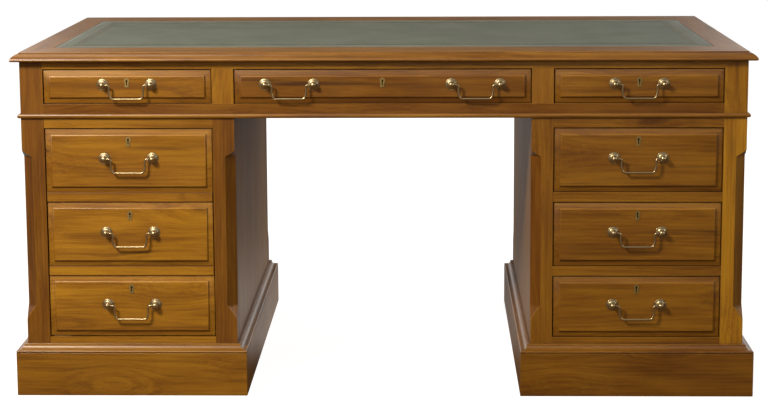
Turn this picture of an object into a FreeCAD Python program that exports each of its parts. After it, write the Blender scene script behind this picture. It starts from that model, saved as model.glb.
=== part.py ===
import FreeCAD, Part
import math
import os

# A partners desk: a leathered top on a frieze of drawers, carried by two pedestals on moulded
# plinths. Each pedestal holds three drawers on one side and a cupboard on the other, and the
# cupboard's door wears three sham drawer fronts. The desk is the same after half a turn about Z,
# so only the front half is laid out and the back half is that half turned round.
# Millimetres, +Z up, origin on the floor under the middle of the desk, front towards -Y.

# --- overall -------------------------------------------------------------------------------
CARCASE_LENGTH = 1638.0
CARCASE_DEPTH = 877.0
OVERALL_HEIGHT = 790.0
KNEEHOLE_WIDTH = 671.0
FRIEZE_HEIGHT = 130.0

# --- top -----------------------------------------------------------------------------------
TOP_THICKNESS = 20.0
TOP_OVERHANG = 19.0
TOP_STEP = 3.0            # the flat field stands this far above the lip's ledge
TOP_LEDGE = 2.0           # width of the ledge between the lip's slope and the step
LIP_SLOPE = 16.0          # how far the lip slopes in from its nose
LIP_CROWN = 2.0           # how far the slope is rounded above a straight one
LIP_NOSE = 5.0            # height of the nose above the lip's foot
LIP_UNDERCUT = 3.5        # how far the lip's foot draws back under the nose
BORDER_END = 62.0         # wooden border outside the leather, at the two ends
BORDER_FRONT = 105.0      # and along the two long sides
LEATHER_THICKNESS = 1.6
LEATHER_SINK = 0.4        # leather lies this far under the border's surface
LEATHER_GAP = 0.3

# --- carcase boards ------------------------------------------------------------------------
OUTER_STILE = 52.0
INNER_STILE = 49.5
BOARD = 22.0
RAIL_DEPTH = 40.0
POST_DEPTH = 52.0
PARTITION = 12.0
DIVIDER = 18.0
DUST_BOARD = 6.0
FRIEZE_TOP_RAIL = 18.0
FRIEZE_BOTTOM_RAIL = 33.0
PEDESTAL_TOP_RAIL = 22.0
PEDESTAL_RAIL = 22.0
PEDESTAL_TOP_BOARD = 15.0
FLOOR_BOARD = 16.0
BOTTOM_RAIL_SHOWING = 15.0   # bottom rail seen above the plinth's moulding
DRAWER_SHARES = (0.336, 0.338, 0.326)   # heights of the top, middle and bottom drawers

# --- stopped chamfers on the pedestals' corners ---------------------------------------------
CHAMFER_LEG = 23.0
CHAMFER_TOP = 73.0        # from the pedestal's top down to the upper stop
CHAMFER_FOOT = 56.0       # from the plinth's top up to the lower stop
UPPER_TONGUE = 16.0
LOWER_TONGUE = 34.0
TONGUE_BEND = ((0.35, 0.28), (0.72, 0.64))  # shares of its length and of the chamfer's depth

# --- bead and plinth -----------------------------------------------------------------------
BEAD_HEIGHT = 9.0
BEAD_PROUD = 6.5
BEAD_LIFT = 1.0
PLINTH_OVERHANG = 23.0
PLINTH_HEIGHT = 118.0
PLINTH_MOULDING = 18.0
PLINTH_BEAD = 3.0
PLINTH_QUIRK = 2.0
PLINTH_FILLET = 1.0
PLINTH_BOARD = 40.0
PLINTH_SEAT = 22.0        # pedestals stand this far below the plinth's top
SEAT_GAP = 0.3

# --- drawers -------------------------------------------------------------------------------
GAP_SIDE = 2.0
GAP_TOP = 2.2
GAP_FOOT = 1.0
MARGIN_SINK = 3.5         # drawer fronts' edges lie this far behind the carcase face
MARGIN = 12.5             # width of the slope that runs round a front
MARGIN_RISE = 3.0         # how far that slope comes forward
OVOLO = 3.5
QUIRK = 0.5
FRONT_THICKNESS = 16.5
SIDE_THICKNESS = 11.0
BACK_THICKNESS = 10.0
BOTTOM_THICKNESS = 6.0
BOTTOM_LIFT = 8.0
SIDE_CLEARANCE = 2.5
SIDE_SHORT = 5.0          # drawer sides stop this far below the opening's top
RUN_CLEARANCE = 0.4
BACK_CLEARANCE = 12.0
RUNNER_HEIGHT = 16.0
RUNNER_LEDGE = 20.0
GUIDE_HEIGHT = 14.0
GUIDE_GAP = 0.5

# --- doors ---------------------------------------------------------------------------------
DOOR_GAP = 2.2
DOOR_LEAF = 12.0
PIVOT_IN = 12.0           # pivot's distance from the stile
PIVOT_BACK = 6.0          # and behind the carcase face
PIVOT_RADIUS = 1.8
PIVOT_LENGTH = 9.0
PIVOT_CLEARANCE = 0.05
PIVOT_PLATE = 1.2
PLATE_LENGTH = 34.0
PLATE_WIDTH = 5.0
PLATE_LAP = 2.3           # plate's edge beyond the pivot, towards the stile and the front
SHELF_THICKNESS = 16.0
SHELF_SETBACK = 2.0
BEARER = 15.0

# --- brass ---------------------------------------------------------------------------------
HANDLE_CENTRES = 109.0
HANDLE_RISE = 5.0         # roses' height above the middle of the opening
PAIR_OFFSET = 209.5       # the wide drawer's two handles, either side of the middle
ROSE_RADIUS = 13.5
ROSE_RIM = 1.5
ROSE_DOME = 4.0
DOME_SHOULDER = (0.28, 0.66)   # shares of the dome's run and rise at its shoulder
POST_RADIUS = 4.2
BALL_RADIUS = 6.5
BALL_STAND = 12.5         # pin's distance from the front
SHANK_RADIUS = 2.5
SHANK_CLEARANCE = 0.1
NUT_RADIUS = 6.5
NUT_HEIGHT = 4.0
PIN_RADIUS = 1.9
PIN_CLEARANCE = 0.05
PIN_REACH = 2.5           # how far the pin passes the post's middle
NECK_GAP = 2.0            # wire stops this far short of the ball
PIN_ROOT = 1.0            # pin is rooted this deep in the wire
WIRE_RADIUS = 2.3
BAIL_DROP = 32.0
BAIL_SPREAD = 38.0        # arms' distance from the middle
BAIL_FLAT = 31.5          # half the bar, to where it turns up
NECK_SWELL = 1.2          # arms lean out this much half-way down
NECK_ROUND = 4.5
ARM_ROUND = 22.0
FOOT_ROUND = 8.0
KEYHOLE_DROP = 30.0       # keyhole's middle below the opening's top
KEY_RADIUS = 3.0
KEY_SLOT = 3.0
KEY_TAIL = 8.0
KEY_RISE = 4.0
THREAD_WIDTH = 3.2
THREAD_PROUD = 0.8
THREAD_DEEP = 2.0
LOCK_WIDTH = 48.0
LOCK_HEIGHT = 38.0
LOCK_DEPTH = 8.0
LOCK_TOP = 4.0

# --- levels and faces that follow ------------------------------------------------------------
HALF_LENGTH = CARCASE_LENGTH / 2.0
FACE = -CARCASE_DEPTH / 2.0
KNEE = KNEEHOLE_WIDTH / 2.0
OPEN_IN = KNEE + INNER_STILE
OPEN_OUT = HALF_LENGTH - OUTER_STILE
WALL_IN = KNEE + BOARD
WALL_OUT = HALF_LENGTH - BOARD
TOP_FOOT = OVERALL_HEIGHT - TOP_THICKNESS
FRIEZE_FOOT = TOP_FOOT - FRIEZE_HEIGHT
CARCASE_FOOT = PLINTH_HEIGHT - PLINTH_SEAT
STACK_TOP = FRIEZE_FOOT - PEDESTAL_TOP_RAIL
STACK_FOOT = PLINTH_HEIGHT + BOTTOM_RAIL_SHOWING
FRIEZE_OPEN_TOP = TOP_FOOT - FRIEZE_TOP_RAIL
FRIEZE_OPEN_FOOT = FRIEZE_FOOT + FRIEZE_BOTTOM_RAIL
MARGIN_FACE = FACE + MARGIN_SINK
FIELD_RISE = MARGIN_RISE + QUIRK + OVOLO
FIELD_FACE = MARGIN_FACE - FIELD_RISE
FRONT_BACK = MARGIN_FACE + FRONT_THICKNESS
SPINE = -PARTITION / 2.0
DIVIDER_MID = KNEE + INNER_STILE / 2.0
PIN_PLANE = FIELD_FACE - BALL_STAND
PIVOT_X = -OPEN_OUT + PIVOT_IN
PIVOT_Y = FACE + PIVOT_BACK
SHELF_LEVEL = (STACK_FOOT + STACK_TOP) / 2.0


def vec(x, y, z):
    return FreeCAD.Vector(x, y, z)


def box(x0, x1, y0, y1, z0, z1):
    """Board between two corners, given axis by axis."""
    return Part.makeBox(x1 - x0, y1 - y0, z1 - z0, vec(x0, y0, z0))


def turned(shape):
    """Copy of a piece turned half round to the other side of the desk."""
    copy = shape.copy()
    copy.rotate(vec(0, 0, 0), vec(0, 0, 1), 180.0)
    return copy


def moved(shape, x, y, z):
    copy = shape.copy()
    copy.translate(vec(x, y, z))
    return copy


def export(node, solids):
    """Write one node: a single solid, or a group of separate solids."""
    shape = solids[0] if len(solids) == 1 else Part.makeCompound(solids)
    shape.exportStep("parts/" + node + ".step")


# --- mouldings -----------------------------------------------------------------------------
def section(half, start, steps, place):
    """Closed face across a slab whose two edges follow the same moulding.

    start is the (inset, z) of the moulding's foot. Each step is (end,) for a line or
    (middle, end) for an arc. place turns (across, z) into a point.
    """
    edges = []
    sides = []
    for sign in (1.0, -1.0):
        here = start
        chain = []
        for step in steps:
            points = [place(sign * (half - inset), z) for inset, z in (here,) + step]
            if len(points) == 3:
                chain.append(Part.Arc(*points).toShape())
            else:
                chain.append(Part.makeLine(*points))
            here = step[-1]
        sides.append(chain)
    end = steps[-1][-1]
    edges.extend(sides[0])
    edges.append(Part.makeLine(place(half - end[0], end[1]), place(end[0] - half, end[1])))
    edges.extend(reversed(sides[1]))
    edges.append(Part.makeLine(place(start[0] - half, start[1]), place(half - start[0], start[1])))
    return Part.Face(Part.Wire(edges))


def moulded_slab(half_x, half_y, start, steps):
    """Slab with the same moulding, mitred at the corners, round all four sides."""
    along_x = section(half_y, start, steps, lambda across, z: vec(-half_x, across, z))
    along_y = section(half_x, start, steps, lambda across, z: vec(across, -half_y, z))
    first = along_x.extrude(vec(2.0 * half_x, 0, 0))
    second = along_y.extrude(vec(0, 2.0 * half_y, 0))
    return first.common(second)


def mitred_boards(ring, outer, inner, z0, z1):
    """Ring cut at its corners into front, right, back and left boards."""
    (ox, oy), (ix, iy) = outer, inner
    corners_out = [(-ox, -oy), (ox, -oy), (ox, oy), (-ox, oy)]
    corners_in = [(-ix, -iy), (ix, -iy), (ix, iy), (-ix, iy)]
    boards = []
    for k in range(4):
        n = (k + 1) % 4
        loop = [corners_out[k], corners_out[n], corners_in[n], corners_in[k], corners_out[k]]
        wedge = Part.Face(Part.makePolygon([vec(x, y, z0) for x, y in loop]))
        boards.extend(ring.common(wedge.extrude(vec(0, 0, z1 - z0))).Solids)
    return boards


def make_top():
    """Border boards with the moulded lip, the ground under the leather, and the leather."""
    half_x = HALF_LENGTH + TOP_OVERHANG
    half_y = CARCASE_DEPTH / 2.0 + TOP_OVERHANG
    ledge = OVERALL_HEIGHT - TOP_STEP
    nose = TOP_FOOT + LIP_NOSE
    under = 1.0 - math.sqrt(0.5)
    slope = math.hypot(LIP_SLOPE, ledge - nose)
    crown = (LIP_SLOPE / 2.0 - LIP_CROWN * (ledge - nose) / slope,
             (nose + ledge) / 2.0 + LIP_CROWN * LIP_SLOPE / slope)
    inset_field = LIP_SLOPE + TOP_LEDGE
    steps = [
        ((LIP_UNDERCUT * under, TOP_FOOT + LIP_NOSE * under), (0.0, nose)),
        (crown, (LIP_SLOPE, ledge)),
        ((inset_field, ledge),),
        ((inset_field, OVERALL_HEIGHT),),
    ]
    slab = moulded_slab(half_x, half_y, (LIP_UNDERCUT, TOP_FOOT), steps)
    in_x = half_x - inset_field - BORDER_END
    in_y = half_y - inset_field - BORDER_FRONT
    ring = slab.cut(box(-in_x, in_x, -in_y, in_y, TOP_FOOT, OVERALL_HEIGHT))
    frame = mitred_boards(ring, (half_x, half_y), (in_x, in_y), TOP_FOOT, OVERALL_HEIGHT)
    skin_top = OVERALL_HEIGHT - LEATHER_SINK
    skin_foot = skin_top - LEATHER_THICKNESS
    ground = box(-in_x, in_x, -in_y, in_y, TOP_FOOT, skin_foot)
    out_x = in_x - LEATHER_GAP
    out_y = in_y - LEATHER_GAP
    leather = box(-out_x, out_x, -out_y, out_y, skin_foot, skin_top)
    return frame, ground, leather


def make_bead():
    """Half-round bead along the foot of the frieze, on all four sides."""
    half_x = HALF_LENGTH + BEAD_PROUD
    half_y = CARCASE_DEPTH / 2.0 + BEAD_PROUD
    foot = FRIEZE_FOOT + BEAD_LIFT
    head = foot + BEAD_HEIGHT
    flat = BEAD_PROUD - BEAD_HEIGHT / 2.0
    steps = [((0.0, (foot + head) / 2.0), (flat, head))]
    slab = moulded_slab(half_x, half_y, (flat, foot), steps)
    in_y = -FACE
    ring = slab.cut(box(-HALF_LENGTH, HALF_LENGTH, -in_y, in_y, foot, head))
    return mitred_boards(ring, (half_x, half_y), (HALF_LENGTH, in_y), foot, head)


def make_plinth():
    """Right-hand plinth: four mitred boards, rebated inside to carry the pedestal."""
    half_x = (HALF_LENGTH - KNEE) / 2.0 + PLINTH_OVERHANG
    half_y = CARCASE_DEPTH / 2.0 + PLINTH_OVERHANG
    shoulder = PLINTH_HEIGHT - PLINTH_MOULDING
    bead_top = shoulder + 2.0 * PLINTH_BEAD
    cove_in = PLINTH_BEAD + PLINTH_QUIRK
    cove = PLINTH_HEIGHT - bead_top - PLINTH_FILLET
    turn = cove * math.sqrt(0.5)
    steps = [
        ((0.0, shoulder),),
        ((PLINTH_BEAD, shoulder),),
        ((0.0, shoulder + PLINTH_BEAD), (PLINTH_BEAD, bead_top)),
        ((cove_in, bead_top),),
        ((cove_in + turn, bead_top + cove - turn), (cove_in + cove, bead_top + cove)),
        ((cove_in + cove, PLINTH_HEIGHT),),
    ]
    slab = moulded_slab(half_x, half_y, (0.0, 0.0), steps)
    seat_x = half_x - PLINTH_OVERHANG + SEAT_GAP
    seat_y = half_y - PLINTH_OVERHANG + SEAT_GAP
    in_x = half_x - PLINTH_BOARD
    in_y = half_y - PLINTH_BOARD
    ring = slab.cut(box(-seat_x, seat_x, -seat_y, seat_y, CARCASE_FOOT, PLINTH_HEIGHT))
    ring = ring.cut(box(-in_x, in_x, -in_y, in_y, 0.0, PLINTH_HEIGHT))
    boards = mitred_boards(ring, (half_x, half_y), (in_x, in_y), 0.0, PLINTH_HEIGHT)
    middle = (HALF_LENGTH + KNEE) / 2.0
    return [moved(board, middle, 0, 0) for board in boards]


# --- carcase -------------------------------------------------------------------------------
def corner_post(x0, x1, y0, y1, side_x, side_y):
    """Pedestal post, its outer corner chamfered between two lamb's-tongue stops."""
    post = box(x0, x1, y0, y1, CARCASE_FOOT, FRIEZE_FOOT)
    corner = vec(x1 if side_x > 0 else x0, y1 if side_y > 0 else y0, 0)
    inward = vec(-side_x, -side_y, 0) * math.sqrt(0.5)
    across = vec(side_y, -side_x, 0) * math.sqrt(0.5)
    deep = CHAMFER_LEG * math.sqrt(0.5)
    head = FRIEZE_FOOT - CHAMFER_TOP
    foot = PLINTH_HEIGHT + CHAMFER_FOOT
    reach = 2.0 * CHAMFER_LEG

    def at(depth, z):
        return corner + inward * depth + vec(0, 0, z) - across * reach

    def tongue(stop, length):
        bends = [at(deep * depth, stop + length * along) for along, depth in TONGUE_BEND]
        curve = Part.BezierCurve()
        curve.setPoles([at(0.0, stop), *bends, at(deep, stop + length)])
        return curve.toShape()

    edges = [
        tongue(foot, LOWER_TONGUE),
        Part.makeLine(at(deep, foot + LOWER_TONGUE), at(deep, head - UPPER_TONGUE)),
        tongue(head, -UPPER_TONGUE),
        Part.makeLine(at(0.0, head), at(-deep, head)),
        Part.makeLine(at(-deep, head), at(-deep, foot)),
        Part.makeLine(at(-deep, foot), at(0.0, foot)),
    ]
    cutter = Part.Face(Part.Wire(edges)).extrude(across * (2.0 * reach))
    return post.cut(cutter).Solids[0]


def stack_openings():
    """(foot, top) of the three pedestal drawer openings, from the top one down."""
    spare = STACK_TOP - STACK_FOOT - 2.0 * PEDESTAL_RAIL
    openings = []
    top = STACK_TOP
    for share in DRAWER_SHARES:
        foot = top - spare * share / sum(DRAWER_SHARES)
        openings.append((foot, top))
        top = foot - PEDESTAL_RAIL
    return openings


def make_pedestal():
    """Right-hand pedestal: drawers towards the front, cupboard towards the back."""
    post_in = FACE + POST_DEPTH
    solids = []
    for side_y in (-1, 1):
        ends = sorted((side_y * -FACE, side_y * -post_in))
        solids.append(corner_post(OPEN_OUT, HALF_LENGTH, ends[0], ends[1], 1, side_y))
        solids.append(corner_post(KNEE, OPEN_IN, ends[0], ends[1], -1, side_y))
        solids.append(box(OPEN_IN, OPEN_OUT, ends[0], ends[1], STACK_TOP, FRIEZE_FOOT))
        solids.append(box(OPEN_IN, OPEN_OUT, ends[0], ends[1], CARCASE_FOOT, STACK_FOOT))
    solids.append(box(WALL_OUT, HALF_LENGTH, post_in, -post_in, CARCASE_FOOT, FRIEZE_FOOT))
    solids.append(box(KNEE, WALL_IN, post_in, -post_in, CARCASE_FOOT, FRIEZE_FOOT))
    for foot, top in stack_openings()[:-1]:
        solids.append(box(OPEN_IN, OPEN_OUT, FACE, post_in, foot - PEDESTAL_RAIL, foot))
    head = FRIEZE_FOOT - PEDESTAL_TOP_BOARD
    floor = STACK_FOOT - RUNNER_HEIGHT
    solids.append(box(WALL_IN, WALL_OUT, post_in, -post_in, head, FRIEZE_FOOT))
    solids.append(box(WALL_IN, WALL_OUT, SPINE, -SPINE, floor - FLOOR_BOARD, head))
    solids.append(box(WALL_IN, WALL_OUT, post_in, SPINE, floor - FLOOR_BOARD, floor))
    solids.append(box(WALL_IN, WALL_OUT, -SPINE, -post_in, STACK_FOOT - FLOOR_BOARD, STACK_FOOT))
    return solids


def make_shelf():
    """Shelf and its two bearers, in the cupboard at the back of the right-hand pedestal."""
    front = -(FACE + POST_DEPTH) - SHELF_SETBACK
    under = SHELF_LEVEL - SHELF_THICKNESS
    shelf = box(WALL_IN + SEAT_GAP, WALL_OUT - SEAT_GAP, -SPINE + SEAT_GAP, front, under, SHELF_LEVEL)
    bearers = [
        box(WALL_IN, WALL_IN + BEARER, -SPINE, front, under - BEARER, under),
        box(WALL_OUT - BEARER, WALL_OUT, -SPINE, front, under - BEARER, under),
    ]
    return [shelf] + bearers


def make_frieze_half():
    """Front half of the frieze: stiles, rails, muntins, dividers and dust boards."""
    rail_in = FACE + RAIL_DEPTH
    solids = []
    for side in (-1, 1):
        stile = sorted((side * OPEN_OUT, side * HALF_LENGTH))
        muntin = sorted((side * KNEE, side * OPEN_IN))
        divider = (side * DIVIDER_MID - DIVIDER / 2.0, side * DIVIDER_MID + DIVIDER / 2.0)
        solids.append(box(stile[0], stile[1], FACE, rail_in, FRIEZE_FOOT, TOP_FOOT))
        solids.append(box(muntin[0], muntin[1], FACE, rail_in, FRIEZE_OPEN_FOOT, FRIEZE_OPEN_TOP))
        solids.append(box(divider[0], divider[1], rail_in, SPINE, FRIEZE_FOOT + DUST_BOARD, TOP_FOOT))
    solids.append(box(-OPEN_OUT, OPEN_OUT, FACE, rail_in, FRIEZE_OPEN_TOP, TOP_FOOT))
    solids.append(box(-OPEN_OUT, OPEN_OUT, FACE, rail_in, FRIEZE_FOOT, FRIEZE_OPEN_FOOT))
    solids.append(box(-WALL_OUT, WALL_OUT, rail_in, SPINE, FRIEZE_FOOT, FRIEZE_FOOT + DUST_BOARD))
    return solids


def make_frieze():
    """Whole frieze, its two halves either side of the spine, and an end board at each end."""
    half = make_frieze_half()
    rail_in = FACE + RAIL_DEPTH
    end = box(WALL_OUT, HALF_LENGTH, rail_in, -rail_in, FRIEZE_FOOT, TOP_FOOT)
    spine = box(-WALL_OUT, WALL_OUT, SPINE, -SPINE, FRIEZE_FOOT, TOP_FOOT)
    return half + [turned(solid) for solid in half] + [spine, end, turned(end)]


def runner_set(opening_x, walls_x, foot, front_y):
    """Ledges the drawer's sides slide on, and the guides beside them."""
    solids = []
    for open_x, wall_x, inward in ((opening_x[0], walls_x[0], 1), (opening_x[1], walls_x[1], -1)):
        ledge = sorted((wall_x, open_x + inward * RUNNER_LEDGE))
        guide = sorted((wall_x, open_x - inward * GUIDE_GAP))
        solids.append(box(ledge[0], ledge[1], front_y, SPINE, foot - RUNNER_HEIGHT, foot))
        solids.append(box(guide[0], guide[1], front_y, SPINE, foot, foot + GUIDE_HEIGHT))
    return solids


def make_runners():
    """Runners, guides and kickers of every drawer on the front half of the desk."""
    rail_in = FACE + RAIL_DEPTH
    face_in = DIVIDER_MID - DIVIDER / 2.0
    face_out = DIVIDER_MID + DIVIDER / 2.0
    frieze = [
        ((-OPEN_OUT, -OPEN_IN), (-WALL_OUT, -face_out)),
        ((-KNEE, KNEE), (-face_in, face_in)),
        ((OPEN_IN, OPEN_OUT), (face_out, WALL_OUT)),
    ]
    solids = []
    for opening_x, walls_x in frieze:
        solids.extend(runner_set(opening_x, walls_x, FRIEZE_OPEN_FOOT, rail_in))
        left = walls_x[0]
        right = walls_x[1]
        solids.append(box(left, opening_x[0] + RUNNER_LEDGE, rail_in, SPINE, FRIEZE_OPEN_TOP, TOP_FOOT))
        solids.append(box(opening_x[1] - RUNNER_LEDGE, right, rail_in, SPINE, FRIEZE_OPEN_TOP, TOP_FOOT))
    for foot, top in stack_openings():
        solids.extend(runner_set((OPEN_IN, OPEN_OUT), (WALL_IN, WALL_OUT), foot, FACE + POST_DEPTH))
    return solids


# --- drawer fronts and boxes -----------------------------------------------------------------
def fielded_front(x0, x1, z0, z1, back_y):
    """Front with a raised field, an ovolo running round it, and a slope from there to the edge."""
    shoulder = MARGIN_FACE - MARGIN_RISE
    board = box(x0, x1, MARGIN_FACE, back_y, z0, z1)
    slope = Part.makeWedge(x0 + MARGIN, shoulder, z0 + MARGIN, z0, x0,
                           x1 - MARGIN, MARGIN_FACE, z1 - MARGIN, z1, x1)
    field = box(x0 + MARGIN, x1 - MARGIN, FIELD_FACE, shoulder, z0 + MARGIN, z1 - MARGIN)
    rim = [edge for edge in field.Edges if edge.BoundBox.YMax < FIELD_FACE + QUIRK]
    return board.fuse([slope, field.makeFillet(OVOLO, rim)]).removeSplitter()


def keyhole(x, z, grow, y0, y1):
    """Keyhole-shaped prism: a round head over a straight tail."""
    centre = z + KEY_RISE
    head = Part.makeCylinder(KEY_RADIUS + grow, y1 - y0, vec(x, y0, centre), vec(0, 1, 0))
    half = KEY_SLOT / 2.0 + grow
    tail = box(x - half, x + half, y0, y1, z - KEY_TAIL - grow, centre)
    return head.fuse(tail).removeSplitter()


def post_centres(handles, z):
    """Middles of the roses of the handles standing at the given places."""
    half = HANDLE_CENTRES / 2.0
    return [(x + side * half, z) for x in handles for side in (-1.0, 1.0)]


def drilled(front, posts, key, back_y):
    """Front with its keyhole and the holes for the handles' shanks."""
    reach = back_y - FIELD_FACE
    cut = front
    for x, z in posts:
        hole = Part.makeCylinder(SHANK_RADIUS + SHANK_CLEARANCE, reach, vec(x, FIELD_FACE, z), vec(0, 1, 0))
        cut = cut.cut(hole)
    cut = cut.cut(keyhole(key[0], key[1], 0.0, FIELD_FACE, back_y))
    pocket = keyhole(key[0], key[1], THREAD_WIDTH, FIELD_FACE, FIELD_FACE + THREAD_DEEP)
    return cut.cut(pocket)


def make_rose_post():
    """Domed rose, post and ball in one casting at X = Z = 0, with its shank, bored along X."""
    ball_in = math.sqrt(BALL_RADIUS ** 2 - POST_RADIUS ** 2)
    rim = FIELD_FACE - ROSE_RIM
    dome = rim - ROSE_DOME
    run = ROSE_RADIUS - POST_RADIUS
    edges = [
        Part.makeLine(vec(0, FIELD_FACE, 0), vec(ROSE_RADIUS, FIELD_FACE, 0)),
        Part.makeLine(vec(ROSE_RADIUS, FIELD_FACE, 0), vec(ROSE_RADIUS, rim, 0)),
        Part.Arc(vec(ROSE_RADIUS, rim, 0),
                 vec(ROSE_RADIUS - run * DOME_SHOULDER[0], rim - ROSE_DOME * DOME_SHOULDER[1], 0),
                 vec(POST_RADIUS, dome, 0)).toShape(),
        Part.makeLine(vec(POST_RADIUS, dome, 0), vec(POST_RADIUS, PIN_PLANE + ball_in, 0)),
        Part.Arc(vec(POST_RADIUS, PIN_PLANE + ball_in, 0),
                 vec(BALL_RADIUS, PIN_PLANE, 0),
                 vec(0, PIN_PLANE - BALL_RADIUS, 0)).toShape(),
        Part.makeLine(vec(0, PIN_PLANE - BALL_RADIUS, 0), vec(0, FIELD_FACE, 0)),
    ]
    return Part.Face(Part.Wire(edges)).revolve(vec(0, 0, 0), vec(0, 1, 0), 360.0)


def post_at(blank, x, z, inward, back_y):
    """Post in place: shanked through the front and bored from its inner side for the pin."""
    shank = Part.makeCylinder(SHANK_RADIUS, back_y - FIELD_FACE, vec(x, FIELD_FACE, z), vec(0, 1, 0))
    start = x - inward * (PIN_REACH + PIN_CLEARANCE)
    depth = PIN_REACH + BALL_RADIUS + NECK_GAP
    bore = Part.makeCylinder(PIN_RADIUS + PIN_CLEARANCE, depth, vec(start, PIN_PLANE, z), vec(inward, 0, 0))
    return moved(blank, x, 0, z).fuse(shank).cut(bore)


def brass_set(handles, z, key, back_y, blank):
    """Posts, nuts and escutcheon thread of one front."""
    solids = []
    for index, (x, post_z) in enumerate(post_centres(handles, z)):
        inward = 1.0 if index % 2 == 0 else -1.0
        solids.append(post_at(blank, x, post_z, inward, back_y))
        solids.append(Part.makeCylinder(NUT_RADIUS, NUT_HEIGHT, vec(x, back_y, post_z), vec(0, 1, 0)))
    start = FIELD_FACE - THREAD_PROUD
    outer = keyhole(key[0], key[1], THREAD_WIDTH, start, FIELD_FACE + THREAD_DEEP)
    solids.append(outer.cut(keyhole(key[0], key[1], 0.0, start, FIELD_FACE + THREAD_DEEP)))
    return solids


def make_lock(key, top):
    """Lock case on the back of a drawer front, pierced by the key's hole."""
    head = top - LOCK_TOP
    case = box(key[0] - LOCK_WIDTH / 2.0, key[0] + LOCK_WIDTH / 2.0,
               FRONT_BACK, FRONT_BACK + LOCK_DEPTH, head - LOCK_HEIGHT, head)
    return case.cut(keyhole(key[0], key[1], 0.0, FRONT_BACK, FRONT_BACK + LOCK_DEPTH))


def rounded_path(points, radii):
    """Wire of straight runs through the points, each inner point rounded by a tangent arc."""
    edges = []
    here = points[0]
    for index, radius in enumerate(radii):
        corner = points[index + 1]
        before = (corner - points[index]).normalize()
        after = (points[index + 2] - corner).normalize()
        turn = before.getAngle(after)
        setback = radius * math.tan(turn / 2.0)
        start = corner - before * setback
        end = corner + after * setback
        inward = (after - before).normalize()
        middle = corner + inward * (radius / math.cos(turn / 2.0) - radius)
        edges.append(Part.makeLine(here, start))
        edges.append(Part.Arc(start, middle, end).toShape())
        here = end
    edges.append(Part.makeLine(here, points[-1]))
    return Part.Wire(edges)


def make_bail():
    """Swan-neck bail hanging from pins that lie along X, its middle at X = Z = 0."""
    neck = HANDLE_CENTRES / 2.0 - BALL_RADIUS - NECK_GAP
    half = [
        (neck, 0.0),
        (BAIL_SPREAD, 0.0),
        (BAIL_SPREAD + NECK_SWELL, -BAIL_DROP / 2.0),
        (BAIL_FLAT + FOOT_ROUND / 2.0, -BAIL_DROP),
    ]
    points = [vec(x, PIN_PLANE, z) for x, z in half]
    points.extend(vec(-x, PIN_PLANE, z) for x, z in reversed(half))
    radii = [NECK_ROUND, ARM_ROUND, FOOT_ROUND]
    path = rounded_path(points, radii + radii[::-1])
    ring = Part.Wire(Part.makeCircle(WIRE_RADIUS, points[0], vec(-1, 0, 0)))
    bail = path.makePipeShell([ring], True, False)
    for side in (-1.0, 1.0):
        root = vec(side * (neck - PIN_ROOT), PIN_PLANE, 0)
        length = HANDLE_CENTRES / 2.0 + PIN_REACH - neck + PIN_ROOT
        bail = bail.fuse(Part.makeCylinder(PIN_RADIUS, length, root, vec(side, 0, 0)))
    return bail.removeSplitter().Solids[0]


def make_drawer(x0, x1, z0, z1, posts, key):
    """Drawer for one opening: fielded front, two sides, back and bottom."""
    top = z1 - GAP_TOP
    front = fielded_front(x0 + GAP_SIDE, x1 - GAP_SIDE, z0 + GAP_FOOT, top, FRONT_BACK)
    foot = z0 + RUN_CLEARANCE
    side_top = z1 - SIDE_SHORT
    left = x0 + SIDE_CLEARANCE
    right = x1 - SIDE_CLEARANCE
    end = SPINE - BACK_CLEARANCE
    shelf = foot + BOTTOM_LIFT
    return [
        drilled(front, posts, key, FRONT_BACK),
        box(left, left + SIDE_THICKNESS, FRONT_BACK, end, foot, side_top),
        box(right - SIDE_THICKNESS, right, FRONT_BACK, end, foot, side_top),
        box(left + SIDE_THICKNESS, right - SIDE_THICKNESS, end - BACK_THICKNESS, end, shelf, side_top),
        box(left + SIDE_THICKNESS, right - SIDE_THICKNESS, FRONT_BACK, end - BACK_THICKNESS,
            shelf, shelf + BOTTOM_THICKNESS),
    ]


# --- doors ---------------------------------------------------------------------------------
def pivot_plate(z0, z1):
    """Narrow plate lying along the door's edge, one end round the pivot."""
    return box(PIVOT_X - PLATE_LAP, PIVOT_X + PLATE_LENGTH,
               PIVOT_Y - PLATE_LAP, PIVOT_Y + PLATE_WIDTH, z0, z1)


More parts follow.
